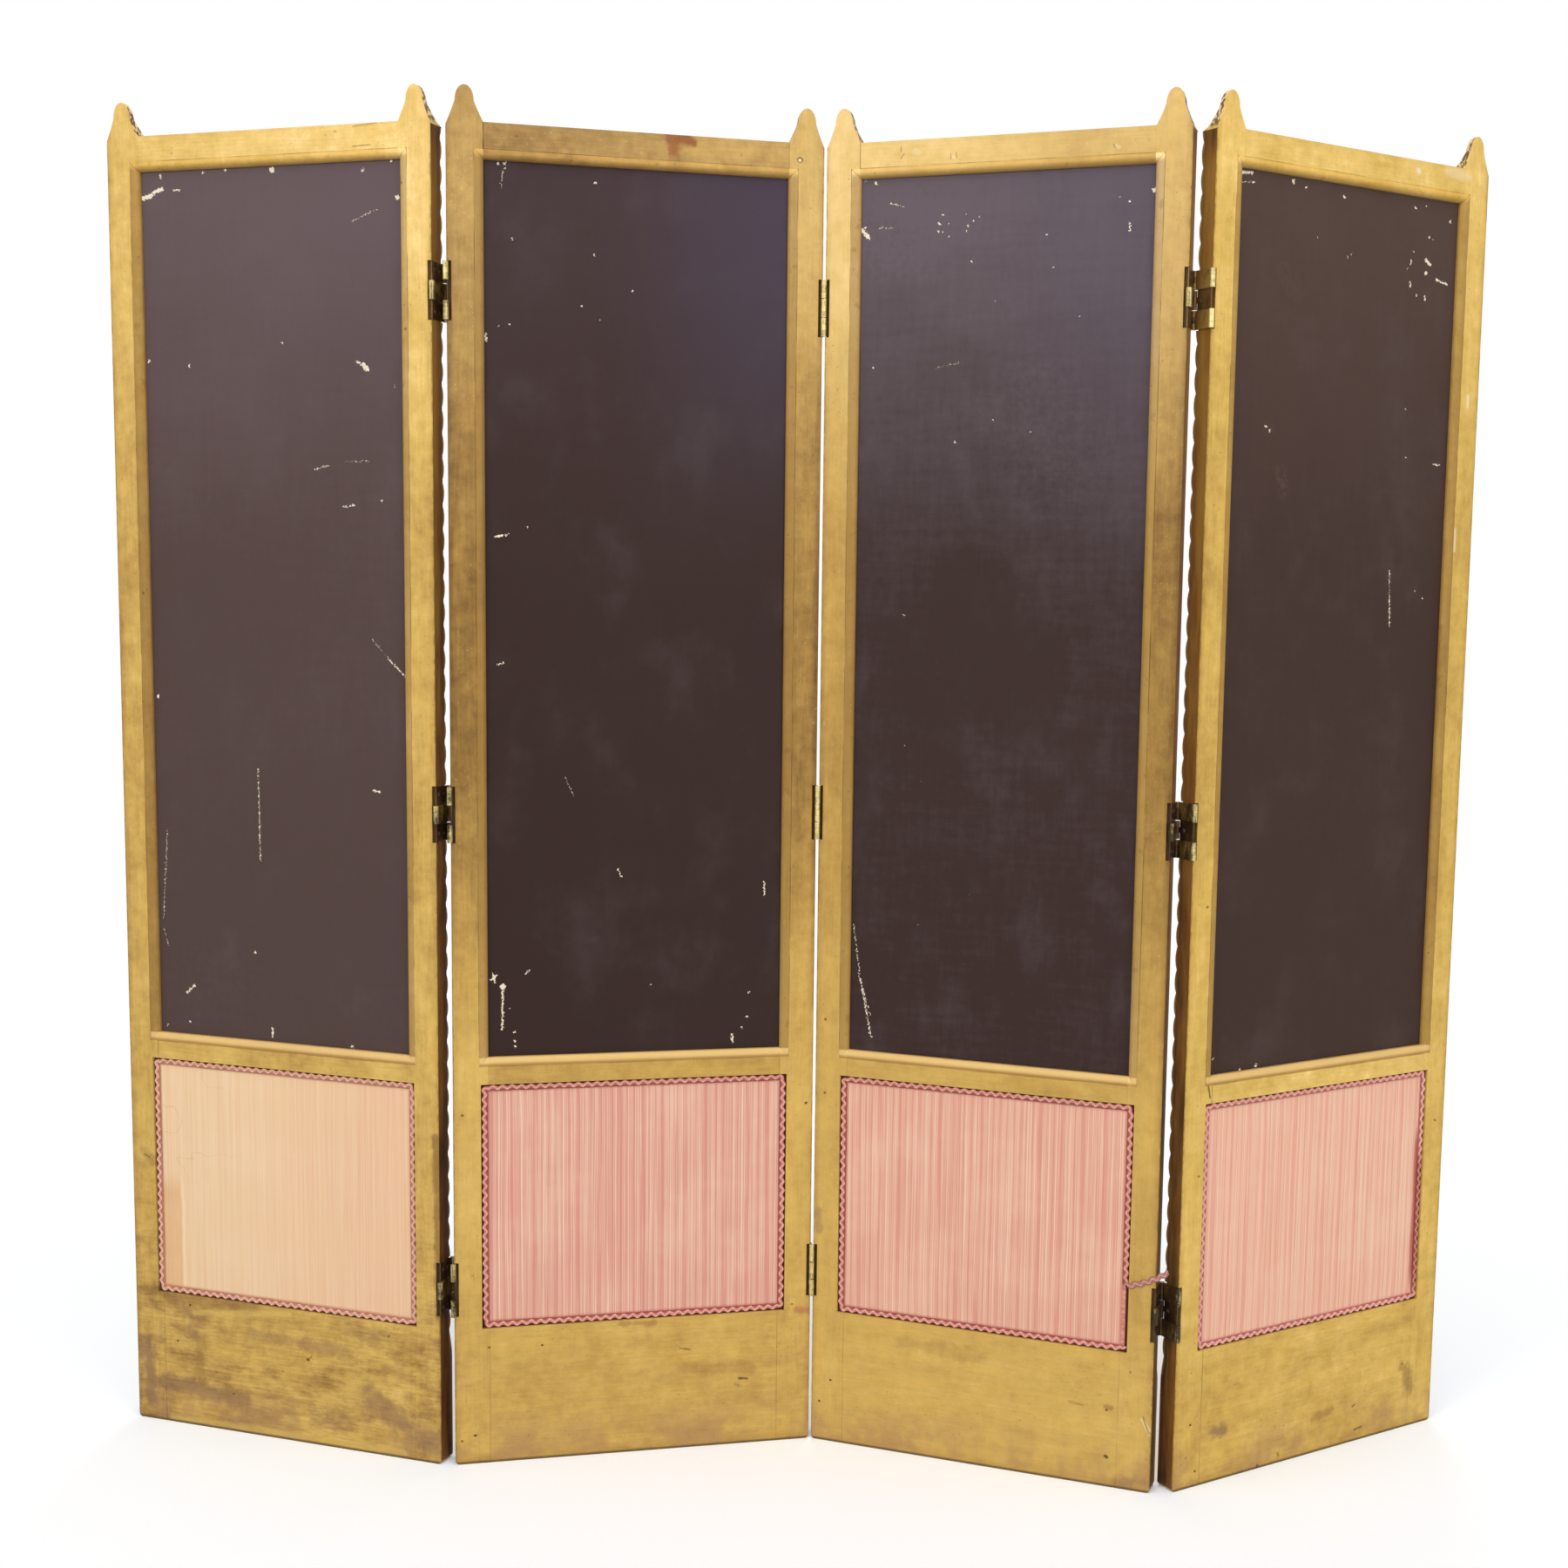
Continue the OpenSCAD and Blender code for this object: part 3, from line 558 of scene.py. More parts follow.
# Chips, drips and scratches in the paint on the backs of the mirrors, in millimetres from the
# panel's foot: x, z and radius of a chip, or both ends and half width of a scratch
MIRROR_MARKS = {
    1: ((50, 1768, 64, 1771, 2.4), (68, 1775, 82, 1779, 2.2), (100, 1777, 110, 1777, 1.1),
        (80, 1799, 80, 1794, 1.2), (149, 1799, 1.5), (185, 1801, 1.3), (259, 1798, 3), (400, 1791, 1.8),
        (444, 1801, 1.6), (453, 1753, 2.8), (236, 607, 236, 594, 1.1), (382, 1725, 422, 1740, 0.5),
        (54, 1546, 1.9), (120, 1538, 1.2), (271, 1567, 1.1), (388, 1540, 406, 1526, 1.3),
        (397, 1536, 404, 1530, 2), (446, 1506, 1.2), (319, 1395, 343, 1401, 0.7),
        (368, 1406, 404, 1406, 0.35), (364, 1345, 381, 1347, 0.8), (424, 1353, 1),
        (407, 1164, 432, 1138, 0.5), (432, 1138, 456, 1116, 0.8), (56, 1075, 2), (220, 978, 221, 848, 0.6),
        (406, 956, 416, 954, 1.1), (66, 885, 56, 753, 0.5), (56, 741, 64, 714, 0.5), (209, 714, 1.4),
        (107, 660, 93, 648, 1.3), (97, 605, 1.3), (59, 598, 1.3), (366, 591, 1.9)),
    2: ((68, 1800, 1.4), (77, 1800, 1.4), (77, 1794, 1), (74, 1790, 72, 1768, 0.5), (197, 1782, 1.3),
        (86, 1702, 1), (195, 1687, 0.9), (247, 1642, 1.1), (179, 1619, 1), (203, 1601, 0.9),
        (51, 1576, 51, 1567, 1), (68, 1588, 1), (82, 1591, 0.9), (62, 1307, 72, 1309, 1.2),
        (72, 1308, 80, 1311, 0.8), (69, 686, 3.2), (69, 680, 68, 626, 1.1), (53, 696, 60, 702, 1.5),
        (56, 705, 58, 693, 1.1), (100, 703, 105, 708, 1), (274, 683, 1.2), (78, 655, 0.9), (85, 621, 1.1),
        (85, 609, 1.8), (86, 601, 1.4), (415, 669, 1), (412, 633, 1), (391, 608, 392, 598, 1.3),
        (405, 618, 1), (105, 1321, 0.9), (63, 1133, 72, 1136, 0.8), (155, 980, 167, 953, 0.4),
        (228, 849, 233, 839, 0.8), (436, 829, 436, 809, 0.8)),
    3: ((69, 1797, 1.6), (53, 1801, 1.2), (90, 1769, 110, 1764, 0.6), (166, 1750, 1.4), (161, 1739, 1.5),
        (175, 1739, 1), (160, 1729, 1.4), (166, 1728, 1.1), (175, 1722, 1), (210, 1741, 1.2),
        (218, 1746, 0.9), (202, 1735, 1.1), (200, 1728, 1), (50, 1735, 59, 1725, 2), (54, 1738, 1.2),
        (75, 1737, 94, 1736, 0.4), (208, 1688, 1), (312, 1719, 1.1), (323, 1676, 1), (243, 1633, 1),
        (360, 1611, 0.9), (457, 1770, 2.2), (424, 1757, 1.3), (425, 1729, 426, 1719, 1.1),
        (411, 1763, 0.9), (52, 770, 62, 700, 0.6), (60, 700, 79, 640, 0.6), (64, 690, 81, 608, 0.8),
        (120, 1210, 0.9), (161, 1547, 195, 1554, 0.35), (69, 1549, 1.2), (190, 1447, 1), (243, 1476, 0.9),
        (297, 1459, 0.9)),
    4: ((52, 1797, 70, 1799, 1.5), (53, 1785, 74, 1787, 0.7), (143, 1796, 2.3), (167, 1791, 1.4),
        (237, 1787, 1.7), (374, 1788, 1.6), (396, 1792, 1.2), (444, 1776, 1.6), (404, 1751, 1.2),
        (411, 1749, 1), (248, 1708, 1.1), (255, 1713, 0.9), (374, 1728, 1), (370, 1715, 370, 1711, 1.2),
        (363, 1703, 1), (399, 1719, 408, 1713, 1.9), (400, 1701, 2.2), (422, 1694, 443, 1689, 1.2),
        (370, 1686, 371, 1680, 1.1), (383, 1669, 1.3), (400, 1670, 400, 1664, 1.2), (191, 1728, 1),
        (56, 610, 1.2), (354, 1284, 359, 1204, 0.7), (372, 1510, 1), (377, 1444, 1.1),
        (433, 1437, 446, 1436, 0.8), (110, 1472, 1.4), (117, 1466, 1.2), (105, 589, 1.3), (135, 591, 1.9),
        (407, 1256, 1), (423, 1246, 1.2)),
}
# How much wider a mark is drawn, because its ragged edge eats into it
MARK_SPREAD = 1.35
# Soft grey smudges and dark strokes under them: place, radius, and how much paler
SMUDGES = {
    1: ((367, 1083, 356, 1019, 3.5, -0.8), (356, 1019, 340, 935, 3.5, -0.8), (130, 690, 180, 660, 45, 0.12)),
    2: ((117, 756, 4.0, 0.6), (188, 748, 200, 752, 4.0, 0.3), (300, 700, 420, 690, 60, 0.12)),
    3: ((90, 1740, 60, 0.14), (300, 1500, 340, 1420, 60, 0.12)),
    4: ((134, 1676, 156, 1652, 9, 1.0), (430, 1779, 7, 1.0), (140, 1412, 147, 1385, 7, 1.1),
        (380, 1775, 8, 0.5), (113, 1469, 7, 0.8)),
}
# Tones of the paint on the backs, at the foot and at the top, and how strong a painted blue sheen
# is on the upper right
MIRROR_PAINT = {
    1: (tone(75, 57, 53), tone(93, 76, 78), 0.1), 2: (tone(44, 25, 19), tone(58, 41, 42), 0.5),
    3: (tone(49, 31, 27), tone(92, 79, 86), 0.3), 4: (tone(56, 35, 27), tone(75, 55, 48), 0.0),
}


def mirror(panel):
    """Silvered glass whose back is painted a dark purple brown, chipped and scratched."""
    f = Finish(f"mirror_{panel}", panel)
    x, y, z = f.x, f.y, f.z
    clouds = f.noise(4, 3, 0.6)
    weave = f.noise((120, 60, 14), 3, 0.6) + f.noise((14, 60, 120), 3, 0.6)
    fine = f.noise(90, 3, 0.6)
    face = f.flat_point()
    wander = f.vectors("SUBTRACT", f.noise(330, output="Color"), (0.5, 0.5, 0.5))
    rough_point = f.vectors(
        "ADD", face, f.node("VectorMath", {"operation": "SCALE"}, {0: wander, "Scale": 0.0085}))

    def away(point, *ends, half):
        """Distance from a mark, counted in the mark's own half width."""
        return f.from_mark(point, *ends) * (1 / (half * MM * MARK_SPREAD))

    foot, top, blue_sheen = MIRROR_PAINT[panel]
    smudged = f.noise((9, 9, 7), 5, 0.65).ramp(0.48, 0.78)
    share = (z.ramp(1.15, OPENING_TOP + 0.05) + (clouds - 0.5) * 0.6 + (weave - 1) * 0.26
             + (fine - 0.5) * 0.26)
    soft, rubbed = 0, f.noise(110, 4, 0.7).ramp(0.40, 0.62)
    for *ends, half, much in SMUDGES[panel]:
        soft = away(face, *ends, half=half).ramp(1.6, 0.2) * much + soft
    if soft:
        share = share + soft * rubbed
    share = share + smudged * 0.10
    paint = f.colours(share, (0.0, foot), (1.0, top))
    paint = f.blend(smudged * 0.14, paint, tone(96, 86, 88))
    # Painted sheen: a blue tint over the upper right
    paint = f.blend(x.ramp(0.18, 0.46) * z.ramp(1.25, 1.75) * blue_sheen, paint, tone(70, 60, 82))

    # A few small flecks at random, more of them along the edges, and the marks listed above
    edge = (x - STILE).least(WIDTH - STILE - x).least(OPENING_TOP - z).least(z - SILL)
    size = f.cells(40)
    luck = f.channel(f.cells(40, "Color"))
    grouped = f.noise(9, 3, 0.7)
    flecks = (size + (fine - 0.5) * 0.05).ramp(0.052, 0.022) * (
        luck * 0.5 + edge.ramp(0.030, 0.001) * 0.12 + grouped * 0.6).ramp(0.80, 0.84)
    least = None
    for *ends, half in MIRROR_MARKS[panel]:
        distance = away(rough_point, *ends, half=half)
        least = distance if least is None else least.least(distance)
    bare = flecks.most(least.ramp(1.10, 0.70)) * y.ramp(GLASS_BACK + 0.0008, GLASS_BACK + 0.0002)
    behind = f.blend(bare * (0.70 + f.noise(400, 1) * 0.5).least(0.97), paint, tone(238, 226, 202))
    front = y.ramp(GLASS_FRONT - 0.0012, GLASS_FRONT - 0.0005)
    tarnish = edge.ramp(0.014, -0.004) * f.noise(30, 5, 0.7).ramp(0.50, 0.66)
    silver = f.blend(tarnish * 0.7, tone(208, 213, 212), tone(112, 100, 84))
    rim = y.ramp(GLASS_BACK + 0.0006, GLASS_BACK + 0.0012)
    f.colour = f.blend(front, f.blend(rim, behind, tone(86, 112, 98)), silver)
    return f.set(Metallic=front * (1 - tarnish * 0.6),
                 Roughness=0.55 - front * 0.51 + tarnish * 0.2 + (fine - 0.5) * 0.1,
                 Specular_IOR_Level=0.22, Normal=f.bump(fine * 0.4 - bare, 0.0003, 0.5))


# Cloth of each panel: where its first wide stripe lies, how far its stripes show, the ground
# and the rose of its stripes
CLOTHS = {
    1: (0.010, 0.30, tone(237, 203, 160), tone(230, 180, 142)),
    2: (0.004, 1.0, tone(221, 163, 145), tone(208, 132, 119)),
    3: (0.021, 0.95, tone(226, 168, 147), tone(212, 137, 122)),
    4: (0.014, 1.0, tone(239, 183, 158), tone(226, 152, 132)),
}
STRIPES = 0.030


def striped_cloth(panel):
    """Faded salmon cloth with fine cream and rose stripes along its warp."""
    f = Finish(f"striped_cloth_{panel}", panel)
    x, y, z = f.x, f.y, f.z
    start, strength, ground, rose = CLOTHS[panel]
    drift = f.noise((2, 2, 5), 2) * 0.0035 + (f.noise((34, 1, 0.8), 2) - 0.5) * 0.014
    place = ((x + drift + (0.3 - start)) * (1 / STRIPES)).math("FRACT")
    threads = f.noise((1500, 60, 14), 2, 0.6)
    bands = f.noise((460, 10, 3), 3, 0.7)
    wide_bands = f.noise((75, 10, 1.5), 3, 0.6)
    clouds = f.noise(9, 3, 0.6)

    def stripe(centre, half, soft):
        return abs(place - centre).ramp(half + soft, half)

    back = y.ramp(0.010, 0.006)
    cream, thread_rose = tone(247, 218, 192), tone(210, 134, 118)
    fade = (0.72 + 0.28 * clouds.ramp(0.3, 0.6)) * strength

    def stripes(*lines):
        return sum(stripe(*line) for line in lines).least(1) * fade

    f.colour = f.blend(stripes((0.28, 0.03, 0.07), (0.68, 0.06, 0.09)) * 0.50, ground, rose)
    f.lay((wide_bands - 0.5).ramp(-0.10, 0.14) * 0.14 * strength, rose)
    creams = stripes((0.05, 0.014, 0.020), (0.135, 0.003, 0.013), (0.215, 0.002, 0.010),
                     (0.345, 0.003, 0.012), (0.45, 0.010, 0.018), (0.54, 0.003, 0.012),
                     (0.80, 0.004, 0.014), (0.87, 0.003, 0.010))
    f.lay(creams * 0.60, cream)
    tans = stripes((0.985, 0.006, 0.012), (0.40, 0.004, 0.010), (0.74, 0.004, 0.010), (0.09, 0.003, 0.008))
    f.lay(tans * 0.42, tone(192, 150, 124))
    f.lay((bands - 0.5).ramp(0.01, 0.13) * 0.36, cream)
    f.lay((0.5 - bands).ramp(0.01, 0.15) * (0.40 if panel > 1 else 0.12), thread_rose)
    f.lay(clouds.ramp(0.42, 0.75) * 0.22, tone(246, 216, 186))
    if panel == 1:
        pink = x.ramp(0.13, 0.42)
        f.lay(pink * (0.20 + (0.5 - bands).ramp(-0.03, 0.10) * 0.18), tone(230, 166, 140))
        water = f.noise(14, 3)
        spread = x + (water - 0.5) * 0.012 + z.ramp(0.36, 0.44) * 0.03
        low = z.ramp(0.385, 0.345) * back
        f.lay(spread.ramp(0.0795, 0.0755) * low * (0.20 + water * 0.5), tone(216, 158, 96))
        f.lay(abs(spread - 0.0815).ramp(0.0024, 0.0006) * low * 0.40, tone(250, 228, 190))
        tide = abs(f.noise((5, 5, 7), 3, 0.6) - 0.52).ramp(0.006, 0.001)
        tide = tide * x.ramp(0.20, 0.10) * z.ramp(0.35, 0.40) * back
        f.lay(tide * 0.16, tone(176, 134, 84))
    # Painted rose shadow along the inner side of the braid, and the dark gap between braid and wood,
    # partly painted shade in the rebate and partly a dark stain on the cloth's edge
    edge = (x - STILE + REBATE).least(WIDTH - STILE + REBATE - x).least(
        COVER_TOP + REBATE - z).least(z - COVER_BOTTOM + REBATE)
    shade = tone(186, 108, 98) if panel > 1 else tone(196, 128, 92)
    f.lay(edge.ramp(0.0135, 0.0100) * (0.5 if panel < 4 else 0.3), shade)
    if panel == 4:
        from_side = WIDTH - STILE + REBATE - x
        crimson = (from_side + (clouds - 0.5) * 0.004).ramp(0.017, 0.0135) * z.within(0.25, 0.43, 0.05)
        f.lay(crimson * back * 0.75, tone(164, 60, 58))
    gap = edge
    if panel == 3:
        open_part = x.ramp(0.44, 0.445) * z.ramp(TORN_TOP + 0.004, TORN_TOP - 0.002)
        frayed = f.noise((40, 10, 120), 3, 0.7)
        f.lay((edge + (frayed - 0.5) * 0.007).ramp(0.0122, 0.0088) * open_part * 0.7,
              f.blend(frayed.ramp(0.42, 0.60), tone(204, 118, 108), tone(234, 166, 148)))
        gap = (clouds * 0.0034 - 0.0008) * open_part + edge
    # The dark gap: partly painted shade, partly stain
    f.lay(gap.ramp(0.0061, 0.0050) * back, tone(90, 42, 30))
    height = threads * 0.6 + f.noise((60, 60, 1700), 2) * 0.4
    return f.set(Roughness=0.82, Sheen_Weight=0.08, Specular_IOR_Level=0.2,
                 Normal=f.bump(height, 0.0004, 0.5))


# Silks of each panel's braid, light and deep: its waving cord, the band under it and the rose
# edge that shows between the scallops, a strand that stands in for the shade along the braid's
# inner side
ROSE_SILKS = ((tone(234, 172, 160), tone(190, 118, 108)), (tone(222, 152, 140), tone(182, 108, 98)),
              (tone(186, 104, 96), tone(146, 70, 64)))
BRAID_SILKS = {
    1: ((tone(236, 186, 164), tone(190, 130, 110)), (tone(226, 172, 150), tone(184, 126, 106)),
        (tone(214, 150, 132), tone(172, 108, 92))),
    2: ROSE_SILKS,
    3: ROSE_SILKS,
    4: ((tone(240, 182, 170), tone(196, 124, 114)), (tone(234, 168, 158), tone(194, 122, 112)),
        (tone(210, 126, 118), tone(172, 92, 86))),
}
# Where panel 4's braid is darker crimson: from x on, and between two heights
CRIMSON_PART = 0.449, 0.225, 0.400


def silk(name, panel, light, deep):
    """Silk cord, lighter on its crowns as a painted highlight, and deep in its lay."""
    f = Finish(f"{name}_{panel}", panel)
    lay = f.noise((420, 420, 420), 2, 0.6)
    shade = f.noise(40, 3, 0.6)
    # Painted highlight: lighter where the strand stands nearest the back
    proud = f.y.ramp(0.0034, 0.0016)
    level = proud * 0.55 + (lay - 0.5) * 0.9 + (shade - 0.5) * 0.5 + 0.2
    f.colour = f.colours(level, (0.0, deep), (0.75, light))
    if panel == 4:
        x, low, high = CRIMSON_PART
        spot = (f.x + (shade - 0.5) * 0.004).ramp(x, x + 0.002) * f.z.within(low, high, 0.03)
        f.lay(spot * (1.1 - proud * 0.5) * 0.75, tone(154, 56, 54))
    return f.set(Roughness=0.8, Sheen_Weight=0.12, Specular_IOR_Level=0.2,
                 Normal=f.bump(lay, 0.0005, 0.7))


# How bright the hinges are, painted light and shade of each hinge in its joint: at each panel's
# left and right edge, at the foot and at the top
HINGE_LIGHT = {1: (0.0, 0.0, -0.05, 0.0), 2: (-0.03, 0.02, 0.13, 0.16), 3: (0.13, 0.16, -0.18, 0.0),
          4: (-0.16, 0.14, 0.0, 0.0)}


def brass(name, panel, light, dark, rough):
    """Old brass, worn patchy, with painted light and shade that follow where it sits in the joints."""
    f = Finish(f"{name}_{panel}", panel)
    wear = f.noise((60, 60, 30), 3, 0.6)
    spots = f.noise(420, 2)
    left_foot, left_top, right_foot, right_top = HINGE_LIGHT[panel]
    higher, righter = f.z.ramp(0.5, 1.6), f.x.ramp(0.1, 0.4)
    left = higher * (left_top - left_foot) + left_foot
    right = higher * (right_top - right_foot) + right_foot
    # Painted light and shade, by the hinge's place
    rubbed = left + (right - left) * righter
    level = wear + (spots - 0.5) * 0.3 + rubbed
    inside = f.colours(level, (0.36, dark), (0.66, light))
    streaks = f.noise((900, 60, 30), 2).ramp(0.44, 0.60) * 0.35
    barrels = f.colours(level - streaks * 0.3 + 0.06, (0.36, tone(58, 46, 26)),
                        (0.70, tone(226, 208, 140)))
    # Painted light: the barrels nearest the back lit bright, the brass deeper in the joint in painted shade
    f.colour = f.blend(f.y.ramp(0.0012, 0.0004), inside, barrels)
    return f.set(Metallic=0.55, Roughness=rough + (wear - 0.5) * 0.3, Normal=f.bump(spots, 0.0002, 0.4))


def steel():
    f = Finish("old_steel")
    wear = f.noise(300, 3)
    f.colour = f.colours(wear, (0.35, tone(112, 104, 92)), (0.65, tone(176, 170, 158)))
    return f.set(Metallic=0.85, Roughness=0.42)


def bare_board(panel):
    f = Finish(f"bare_board_{panel}", panel)
    grain = f.noise((90, 60, 6), 4, 0.6)
    f.colour = f.colours(grain, (0.3, tone(150, 118, 80)), (0.7, tone(198, 168, 122)))
    return f.set(Roughness=0.75, Normal=f.bump(grain, 0.0005, 0.5))


def placed(name, data):
    obj = bpy.data.objects.new(name, data)
    bpy.context.scene.collection.objects.link(obj)
    return obj


def made_from(bm, name, *materials):
    """An object from its drawn mesh, with its finishes."""
    mesh = bpy.data.meshes.new(name)
    bm.to_mesh(mesh)
    bm.free()
    for material in materials:
        mesh.materials.append(material)
    return placed(name, mesh)


def keep(bm, name, panel, slot, *materials):
    """Makes a panel's piece from a mesh drawn in the panel's own place, and lets it ride."""
    bm.transform(PLACE[panel])
    obj = made_from(bm, name, *materials)
    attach(obj, f"panel_{panel}")
    return obj


# Cloth, drawn flat and a little full between the braid
CLOTH_LEFT = STILE - REBATE + SOFT_GAP
CLOTH_LOW = COVER_BOTTOM - REBATE + SOFT_GAP
CLOTH_WIDTH = WIDTH - 2 * CLOTH_LEFT
CLOTH_HEIGHT = COVER_TOP - COVER_BOTTOM + 2 * (REBATE - SOFT_GAP)
FULLNESS = 0.0007
RIPPLE = 0.0009


def cloth_sheet(panel, side, depth, outward, material):
    """A stretched sheet: slightly full in the middle, with soft ripples along its stripes."""
    bm = bmesh.new()
    bmesh.ops.create_grid(bm, x_segments=72, y_segments=44, size=0.5)
    for v in bm.verts:
        u, w = v.co.x + 0.5, v.co.y + 0.5
        rim = min(u, 1 - u, (w if w < 0.5 else 1 - w) * CLOTH_HEIGHT / CLOTH_WIDTH)
        inside = min(1.0, max(0.0, (rim - 0.03) / 0.08))
        x, z = CLOTH_LEFT + u * CLOTH_WIDTH, CLOTH_LOW + w * CLOTH_HEIGHT
        ripple = RIPPLE * noise.noise(Vector((x * 60, z * 5, panel * 9.1 + depth * 300)))
        v.co = Vector((x, depth + outward * inside * (FULLNESS + ripple), z))
    for face in bm.faces:
        face.smooth = True
    bmesh.ops.recalc_face_normals(bm, faces=bm.faces)
    obj = keep(bm, f"cloth_{side}_{panel}", panel, "striped_cloth", material)
    skin = obj.modifiers.new("thickness", "SOLIDIFY")
    skin.thickness, skin.offset = CLOTH * 0.7, 0
    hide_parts(f"cloth_{panel}")
    return obj


def frame_line(width, height, corner):
    """A rounded frame's length, and its point and outward direction at a distance along it."""
    runs = [width - 2 * corner, height - 2 * corner] * 2
    bend = math.pi / 2 * corner
    total = sum(runs) + 4 * bend
    corners = [(width - corner, corner), (width - corner, height - corner),
               (corner, height - corner), (corner, corner)]

    def at(s):
        s %= total
        for k, run in enumerate(runs):
            angle = -math.pi / 2 + k * math.pi / 2
            out = Vector((math.cos(angle), 0, math.sin(angle)))
            ahead = Vector((-out.z, 0, out.x))
            cx, cz = corners[k]
            if s <= run:
                return Vector((cx, 0, cz)) + out * corner - ahead * (run - s), out
            s -= run
            if s <= bend:
                turn = angle + s / corner
                out = Vector((math.cos(turn), 0, math.sin(turn)))
                return Vector((cx, 0, cz)) + out * corner, out
            s -= bend
        return at(0)

    return total, at


SIDES = 8


def strand(spine, half_width, half_depth, closed):
    """A flat strand with a rounded section, along a spine of points and sideways directions."""
    bm = bmesh.new()
    turns = [2 * math.pi * k / SIDES for k in range(SIDES)]
    section = [(half_width * math.cos(turn), half_depth * math.sin(turn)) for turn in turns]
    rings = [[bm.verts.new(point + side * wide + Vector((0, deep, 0))) for wide, deep in section]
             for point, side in spine]
    pairs = list(zip(rings, rings[1:])) + ([(rings[-1], rings[0])] if closed else [])
    for first, second in pairs:
        for k in range(SIDES):
            bm.faces.new((first[k], first[(k + 1) % SIDES], second[(k + 1) % SIDES], second[k]))
    if not closed:
        bm.faces.new(rings[0])
        bm.faces.new(rings[-1])
    bmesh.ops.recalc_face_normals(bm, faces=bm.faces)
    return bm


def joined(*parts):
    """One bmesh from several; the faces of each get the next material."""
    whole = bmesh.new()
    for number, part in enumerate(parts):
        mesh = bpy.data.meshes.new("part")
        for face in part.faces:
            face.material_index = number
            face.smooth = True
        part.to_mesh(mesh)
        part.free()
        whole.from_mesh(mesh)
        bpy.data.meshes.remove(mesh)
    return whole


BRAID_PITCH = 0.0131
BRAID_INSET = 0.0052
BRAID_CORNER = 0.004
WAVE_STEPS = 8
# The strands of the braid, cord, band and edge: swing of its scallops, how far it lies inside the
# braid's line, its depth, and its own half width and half depth
# The edge strand stands in for painted shade along the braid's inner side
BRAID_STRANDS = ((0.0026, -0.0006, 0.0025, 0.0014, 0.0007), (0.0014, -0.0006, 0.0031, 0.0030, 0.0006),
                 (0.0, 0.0027, 0.0036, 0.0017, 0.0003))
# The loose end of the braid: its start, slope, length, droop and steps
LOOSE_START = Vector((WIDTH - STILE + 0.008, -0.00115, TORN_TOP + 0.0048))
LOOSE_SLOPE = math.radians(25)
LOOSE_LENGTH = 0.0632
LOOSE_DROOP = 0.0036
LOOSE_STEPS = 40


def braid(panel, *silks):
    """Gimp round the cloth: a waving cord over a scalloped band. Panel 3's is torn open."""
    width = CLOTH_WIDTH - 2 * BRAID_INSET
    height = CLOTH_HEIGHT - 2 * BRAID_INSET
    total, at = frame_line(width, height, BRAID_CORNER)
    steps = round(total / BRAID_PITCH) * WAVE_STEPS
    corner = Vector((CLOTH_LEFT + BRAID_INSET, 0, CLOTH_LOW + BRAID_INSET))
    torn_from = width - 2 * BRAID_CORNER + BRAID_CORNER * math.pi / 2
    torn_to = torn_from + (TORN_TOP - CLOTH_LOW - BRAID_INSET)
    torn = panel == 3

    def spine(swing, inset, depth):
        made = []
        for k in range(steps):
            s = total * k / steps
            if torn and torn_from < s < torn_to:
                continue
            point, out = at(s)
            wander = 0.0005 * noise.noise(Vector((s * 60, panel * 7.7, 0)))
            wave = swing * math.cos(2 * math.pi * k / WAVE_STEPS)
            made.append((s, (corner + point + out * (wave - inset + wander) + Vector((0, depth, 0)), out)))
        if torn:
            made.sort(key=lambda one: (one[0] <= torn_from, one[0]))
        return [one for _, one in made]

    strands = [strand(spine(*line), half_width, half_depth, not torn)
               for *line, half_width, half_depth in BRAID_STRANDS]
    obj = keep(joined(*strands), f"braid_trim_{panel}", panel, "braid", *silks)
    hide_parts(f"braid_{panel}")
    return obj


def loose_end(*silks):
    """The torn end of panel 3's braid, lying across the stile into the gap beside it."""
    along = Vector((math.cos(LOOSE_SLOPE), 0, math.sin(LOOSE_SLOPE)))
    across = Vector((-along.z, 0, along.x))

    def point(share, wave=0.0, depth=0.0):
        sag = -4 * LOOSE_DROOP * (share - share * share)
        lift = Vector((0, depth, 0))
        return LOOSE_START + along * (LOOSE_LENGTH * share) + across * (sag + wave) + lift

    def waving(swing, depth):
        return [(point(k / LOOSE_STEPS, swing * math.cos(k * math.pi / 4), depth), across)
                for k in range(LOOSE_STEPS + 1)]

    crowns = strand(waving(0.0024, -0.0004), 0.0008, 0.0006, False)
    flat = strand(waving(0.0011, 0.0), 0.0040, 0.0004, False)
    obj = keep(joined(crowns, flat), "braid_loose_end_3", 3, "braid", *silks)
    return obj, [PLACE[3] @ point(k / 20) for k in range(21)]


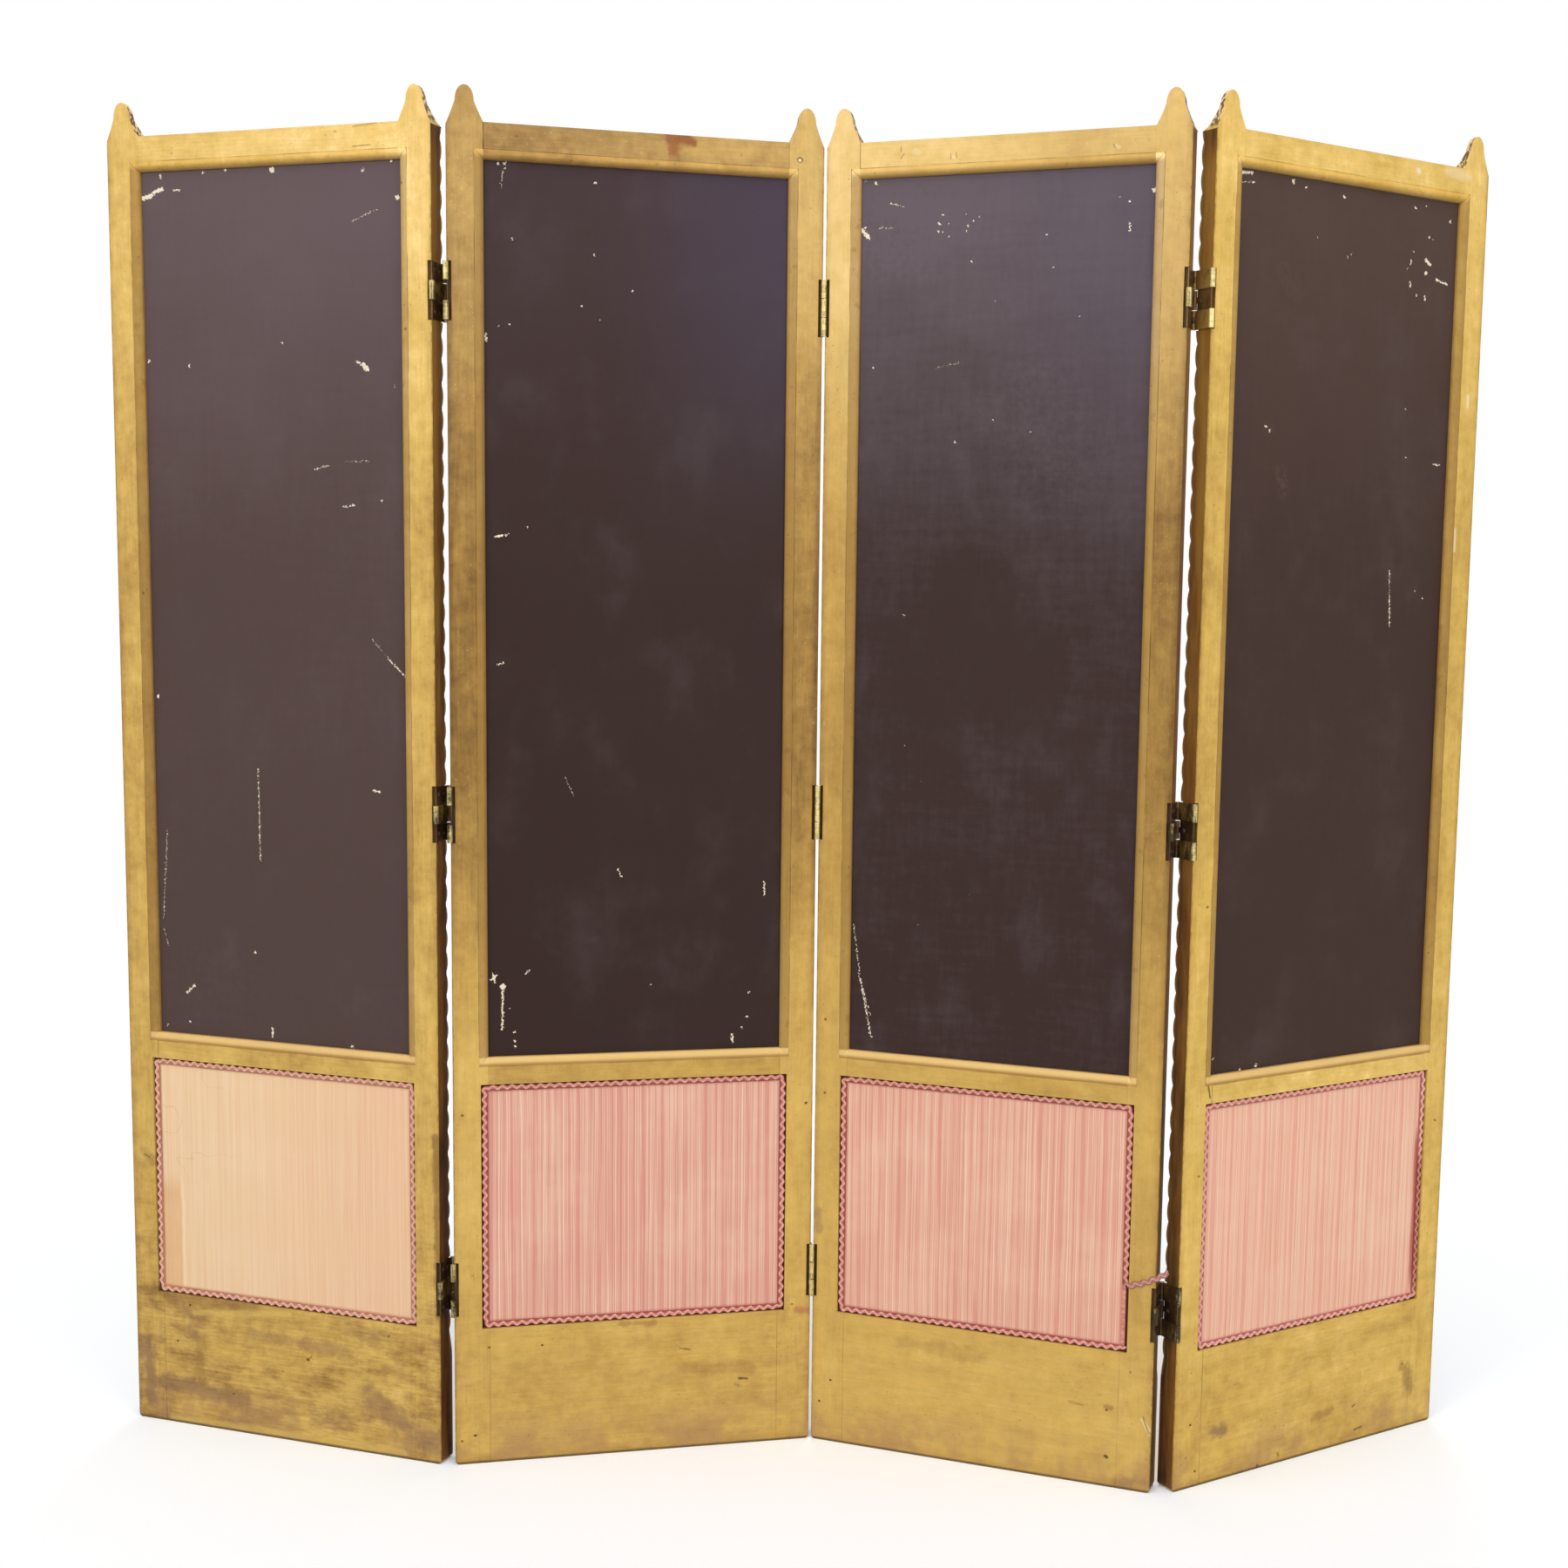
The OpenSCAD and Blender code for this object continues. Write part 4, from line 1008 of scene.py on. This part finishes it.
def screen():
    plain_steel = steel()
    for panel in PANELS:
        wood = gilding(panel)
        finishes = {
            **dict.fromkeys(("left_stile", "right_stile", "top_rail", "middle_rail", "bottom_rail"), wood),
            "glazing_beads": gilding(panel, beads=True),
            "mirror": mirror(panel),
            "backing_board": bare_board(panel),
            "hinge_leaves": brass("worn_brass", panel, tone(124, 92, 52), tone(64, 44, 28), 0.42),
            "link_plates": brass("dark_brass", panel, tone(162, 126, 62), tone(70, 50, 26), 0.5),
            "hinge_pins": plain_steel,
            "leaf_screws": plain_steel,
        }
        for piece, finish in finishes.items():
            materials = frame["nodes"][f"{piece}_{panel}"].data.materials
            materials.clear()
            materials.append(finish)
        cloth = striped_cloth(panel)
        cloth_sheet(panel, "back", BACK_CLOTH + CLOTH / 2, -1, cloth)
        cloth_sheet(panel, "front", FRONT_CLOTH + CLOTH / 2, 1, cloth)
        braid(panel, *(silk(f"braid_{part}", panel, *tones)
                       for part, tones in zip(("cord", "ribbon", "edge"), BRAID_SILKS[panel])))
        if panel == 3:
            tail, path = loose_end(silk("loose_cord", panel, tone(222, 172, 152), tone(184, 128, 116)),
                                   silk("loose_ribbon", panel, tone(172, 116, 110), tone(136, 84, 80)))


# Camera of the photograph: focal length and the offset of its axis, in shares of the picture
FOCAL = 2344.667 / 1800
AXIS_OFF = (133.8 / 1800, 45.8 / 1800)
CAMERA_PLACE = (0.14909, -2.87144, 1.24315)
CAMERA_DOWN = math.radians(6.502)
CAMERA_ROLL = math.radians(0.996)


def camera():
    data = bpy.data.cameras.new("camera")
    data.sensor_fit, data.sensor_width = "HORIZONTAL", 36
    data.lens = FOCAL * data.sensor_width
    data.shift_x, data.shift_y = -AXIS_OFF[0], AXIS_OFF[1]
    obj = placed("camera", data)
    obj.matrix_world = (Matrix.Translation(CAMERA_PLACE)
                        @ Matrix.Rotation(math.pi / 2 - CAMERA_DOWN, 4, "X")
                        @ Matrix.Rotation(CAMERA_ROLL, 4, "Z"))
    bpy.context.scene.camera = obj


def lamp(name, place, target, size, power, mirrored=True):
    data = bpy.data.lights.new(name, "AREA")
    data.shape, data.size, data.energy = "DISK", size, power
    obj = placed(name, data)
    obj.location = place
    obj.visible_glossy = mirrored
    obj.rotation_euler = (Vector(target) - Vector(place)).to_track_quat("-Z", "Y").to_euler()


def show_white(nodes, output, white, plain, share, shown=None):
    """Where the camera, gloss or glass looks, plain white takes a share of the shader's place.
    The rest of it is the shown shader there, if one is given."""
    direct, mirrored, through = (nodes.node("LightPath", {}, {}, f"Is {kind} Ray")
                                 for kind in ("Camera", "Glossy", "Transmission"))
    seen = direct.most(mirrored).most(through)
    rest = nodes.node("MixShader", {}, {0: seen, 1: plain, 2: shown}) if shown else plain
    white = nodes.node(white, {}, {"Color": (1, 1, 1, 1), "Strength": 1.0})
    mixed = nodes.node("MixShader", {}, {0: seen * share, 1: rest, 2: white})
    nodes.feed(nodes.tree.nodes[output].inputs, {"Surface": mixed})


def pale_floor():
    """A plain floor that keeps the screen's soft shadow and runs out into white."""
    bm = bmesh.new()
    bmesh.ops.create_grid(bm, x_segments=1, y_segments=1, size=14)
    material = bpy.data.materials.new("pale_floor")
    nodes = Nodes(material)
    plain = nodes.first("Principled BSDF", Base_Color=(0.62, 0.62, 0.61, 1), Roughness=0.9,
                        Specular_IOR_Level=0.1)
    place = nodes.node("TexCoord", {}, {}, "Object")
    away = nodes.node("VectorMath", {"operation": "DISTANCE"}, {0: place}, "Value")
    bright = nodes.node("BsdfDiffuse", {}, {"Color": (0.89, 0.925, 0.965, 1)})
    glow = nodes.node("Emission", {}, {"Strength": 0.10})
    shown = nodes.node("AddShader", {}, {0: bright, 1: glow})
    show_white(nodes, "Material Output", "Emission", plain, away.ramp(0.6, 1.8), shown)
    made_from(bm, "floor", material)


def studio():
    scene = bpy.context.scene
    scene.view_settings.view_transform = "Standard"
    scene.world = bpy.data.worlds.new("studio")
    nodes = Nodes(scene.world)
    sky = nodes.first("Background", Color=(1.0, 0.99, 0.97, 1), Strength=0.60)
    show_white(nodes, "World Output", "Background", sky, 1.0)
    pale_floor()
    lamp("key", (-2.6, -3.8, 3.4), (0, 0, 0.9), 2.2, 78)
    lamp("fill", (3.2, -3.8, 1.6), (0, 0, 0.8), 2.6, 60)
    lamp("overhead", (0, -1.3, 4.2), (0, -0.2, 0.8), 2.6, 44)
    lamp("front_side", (0.5, 4.2, 2.8), (0, 0, 1.0), 3.0, 70, mirrored=False)


camera()
screen()
studio()
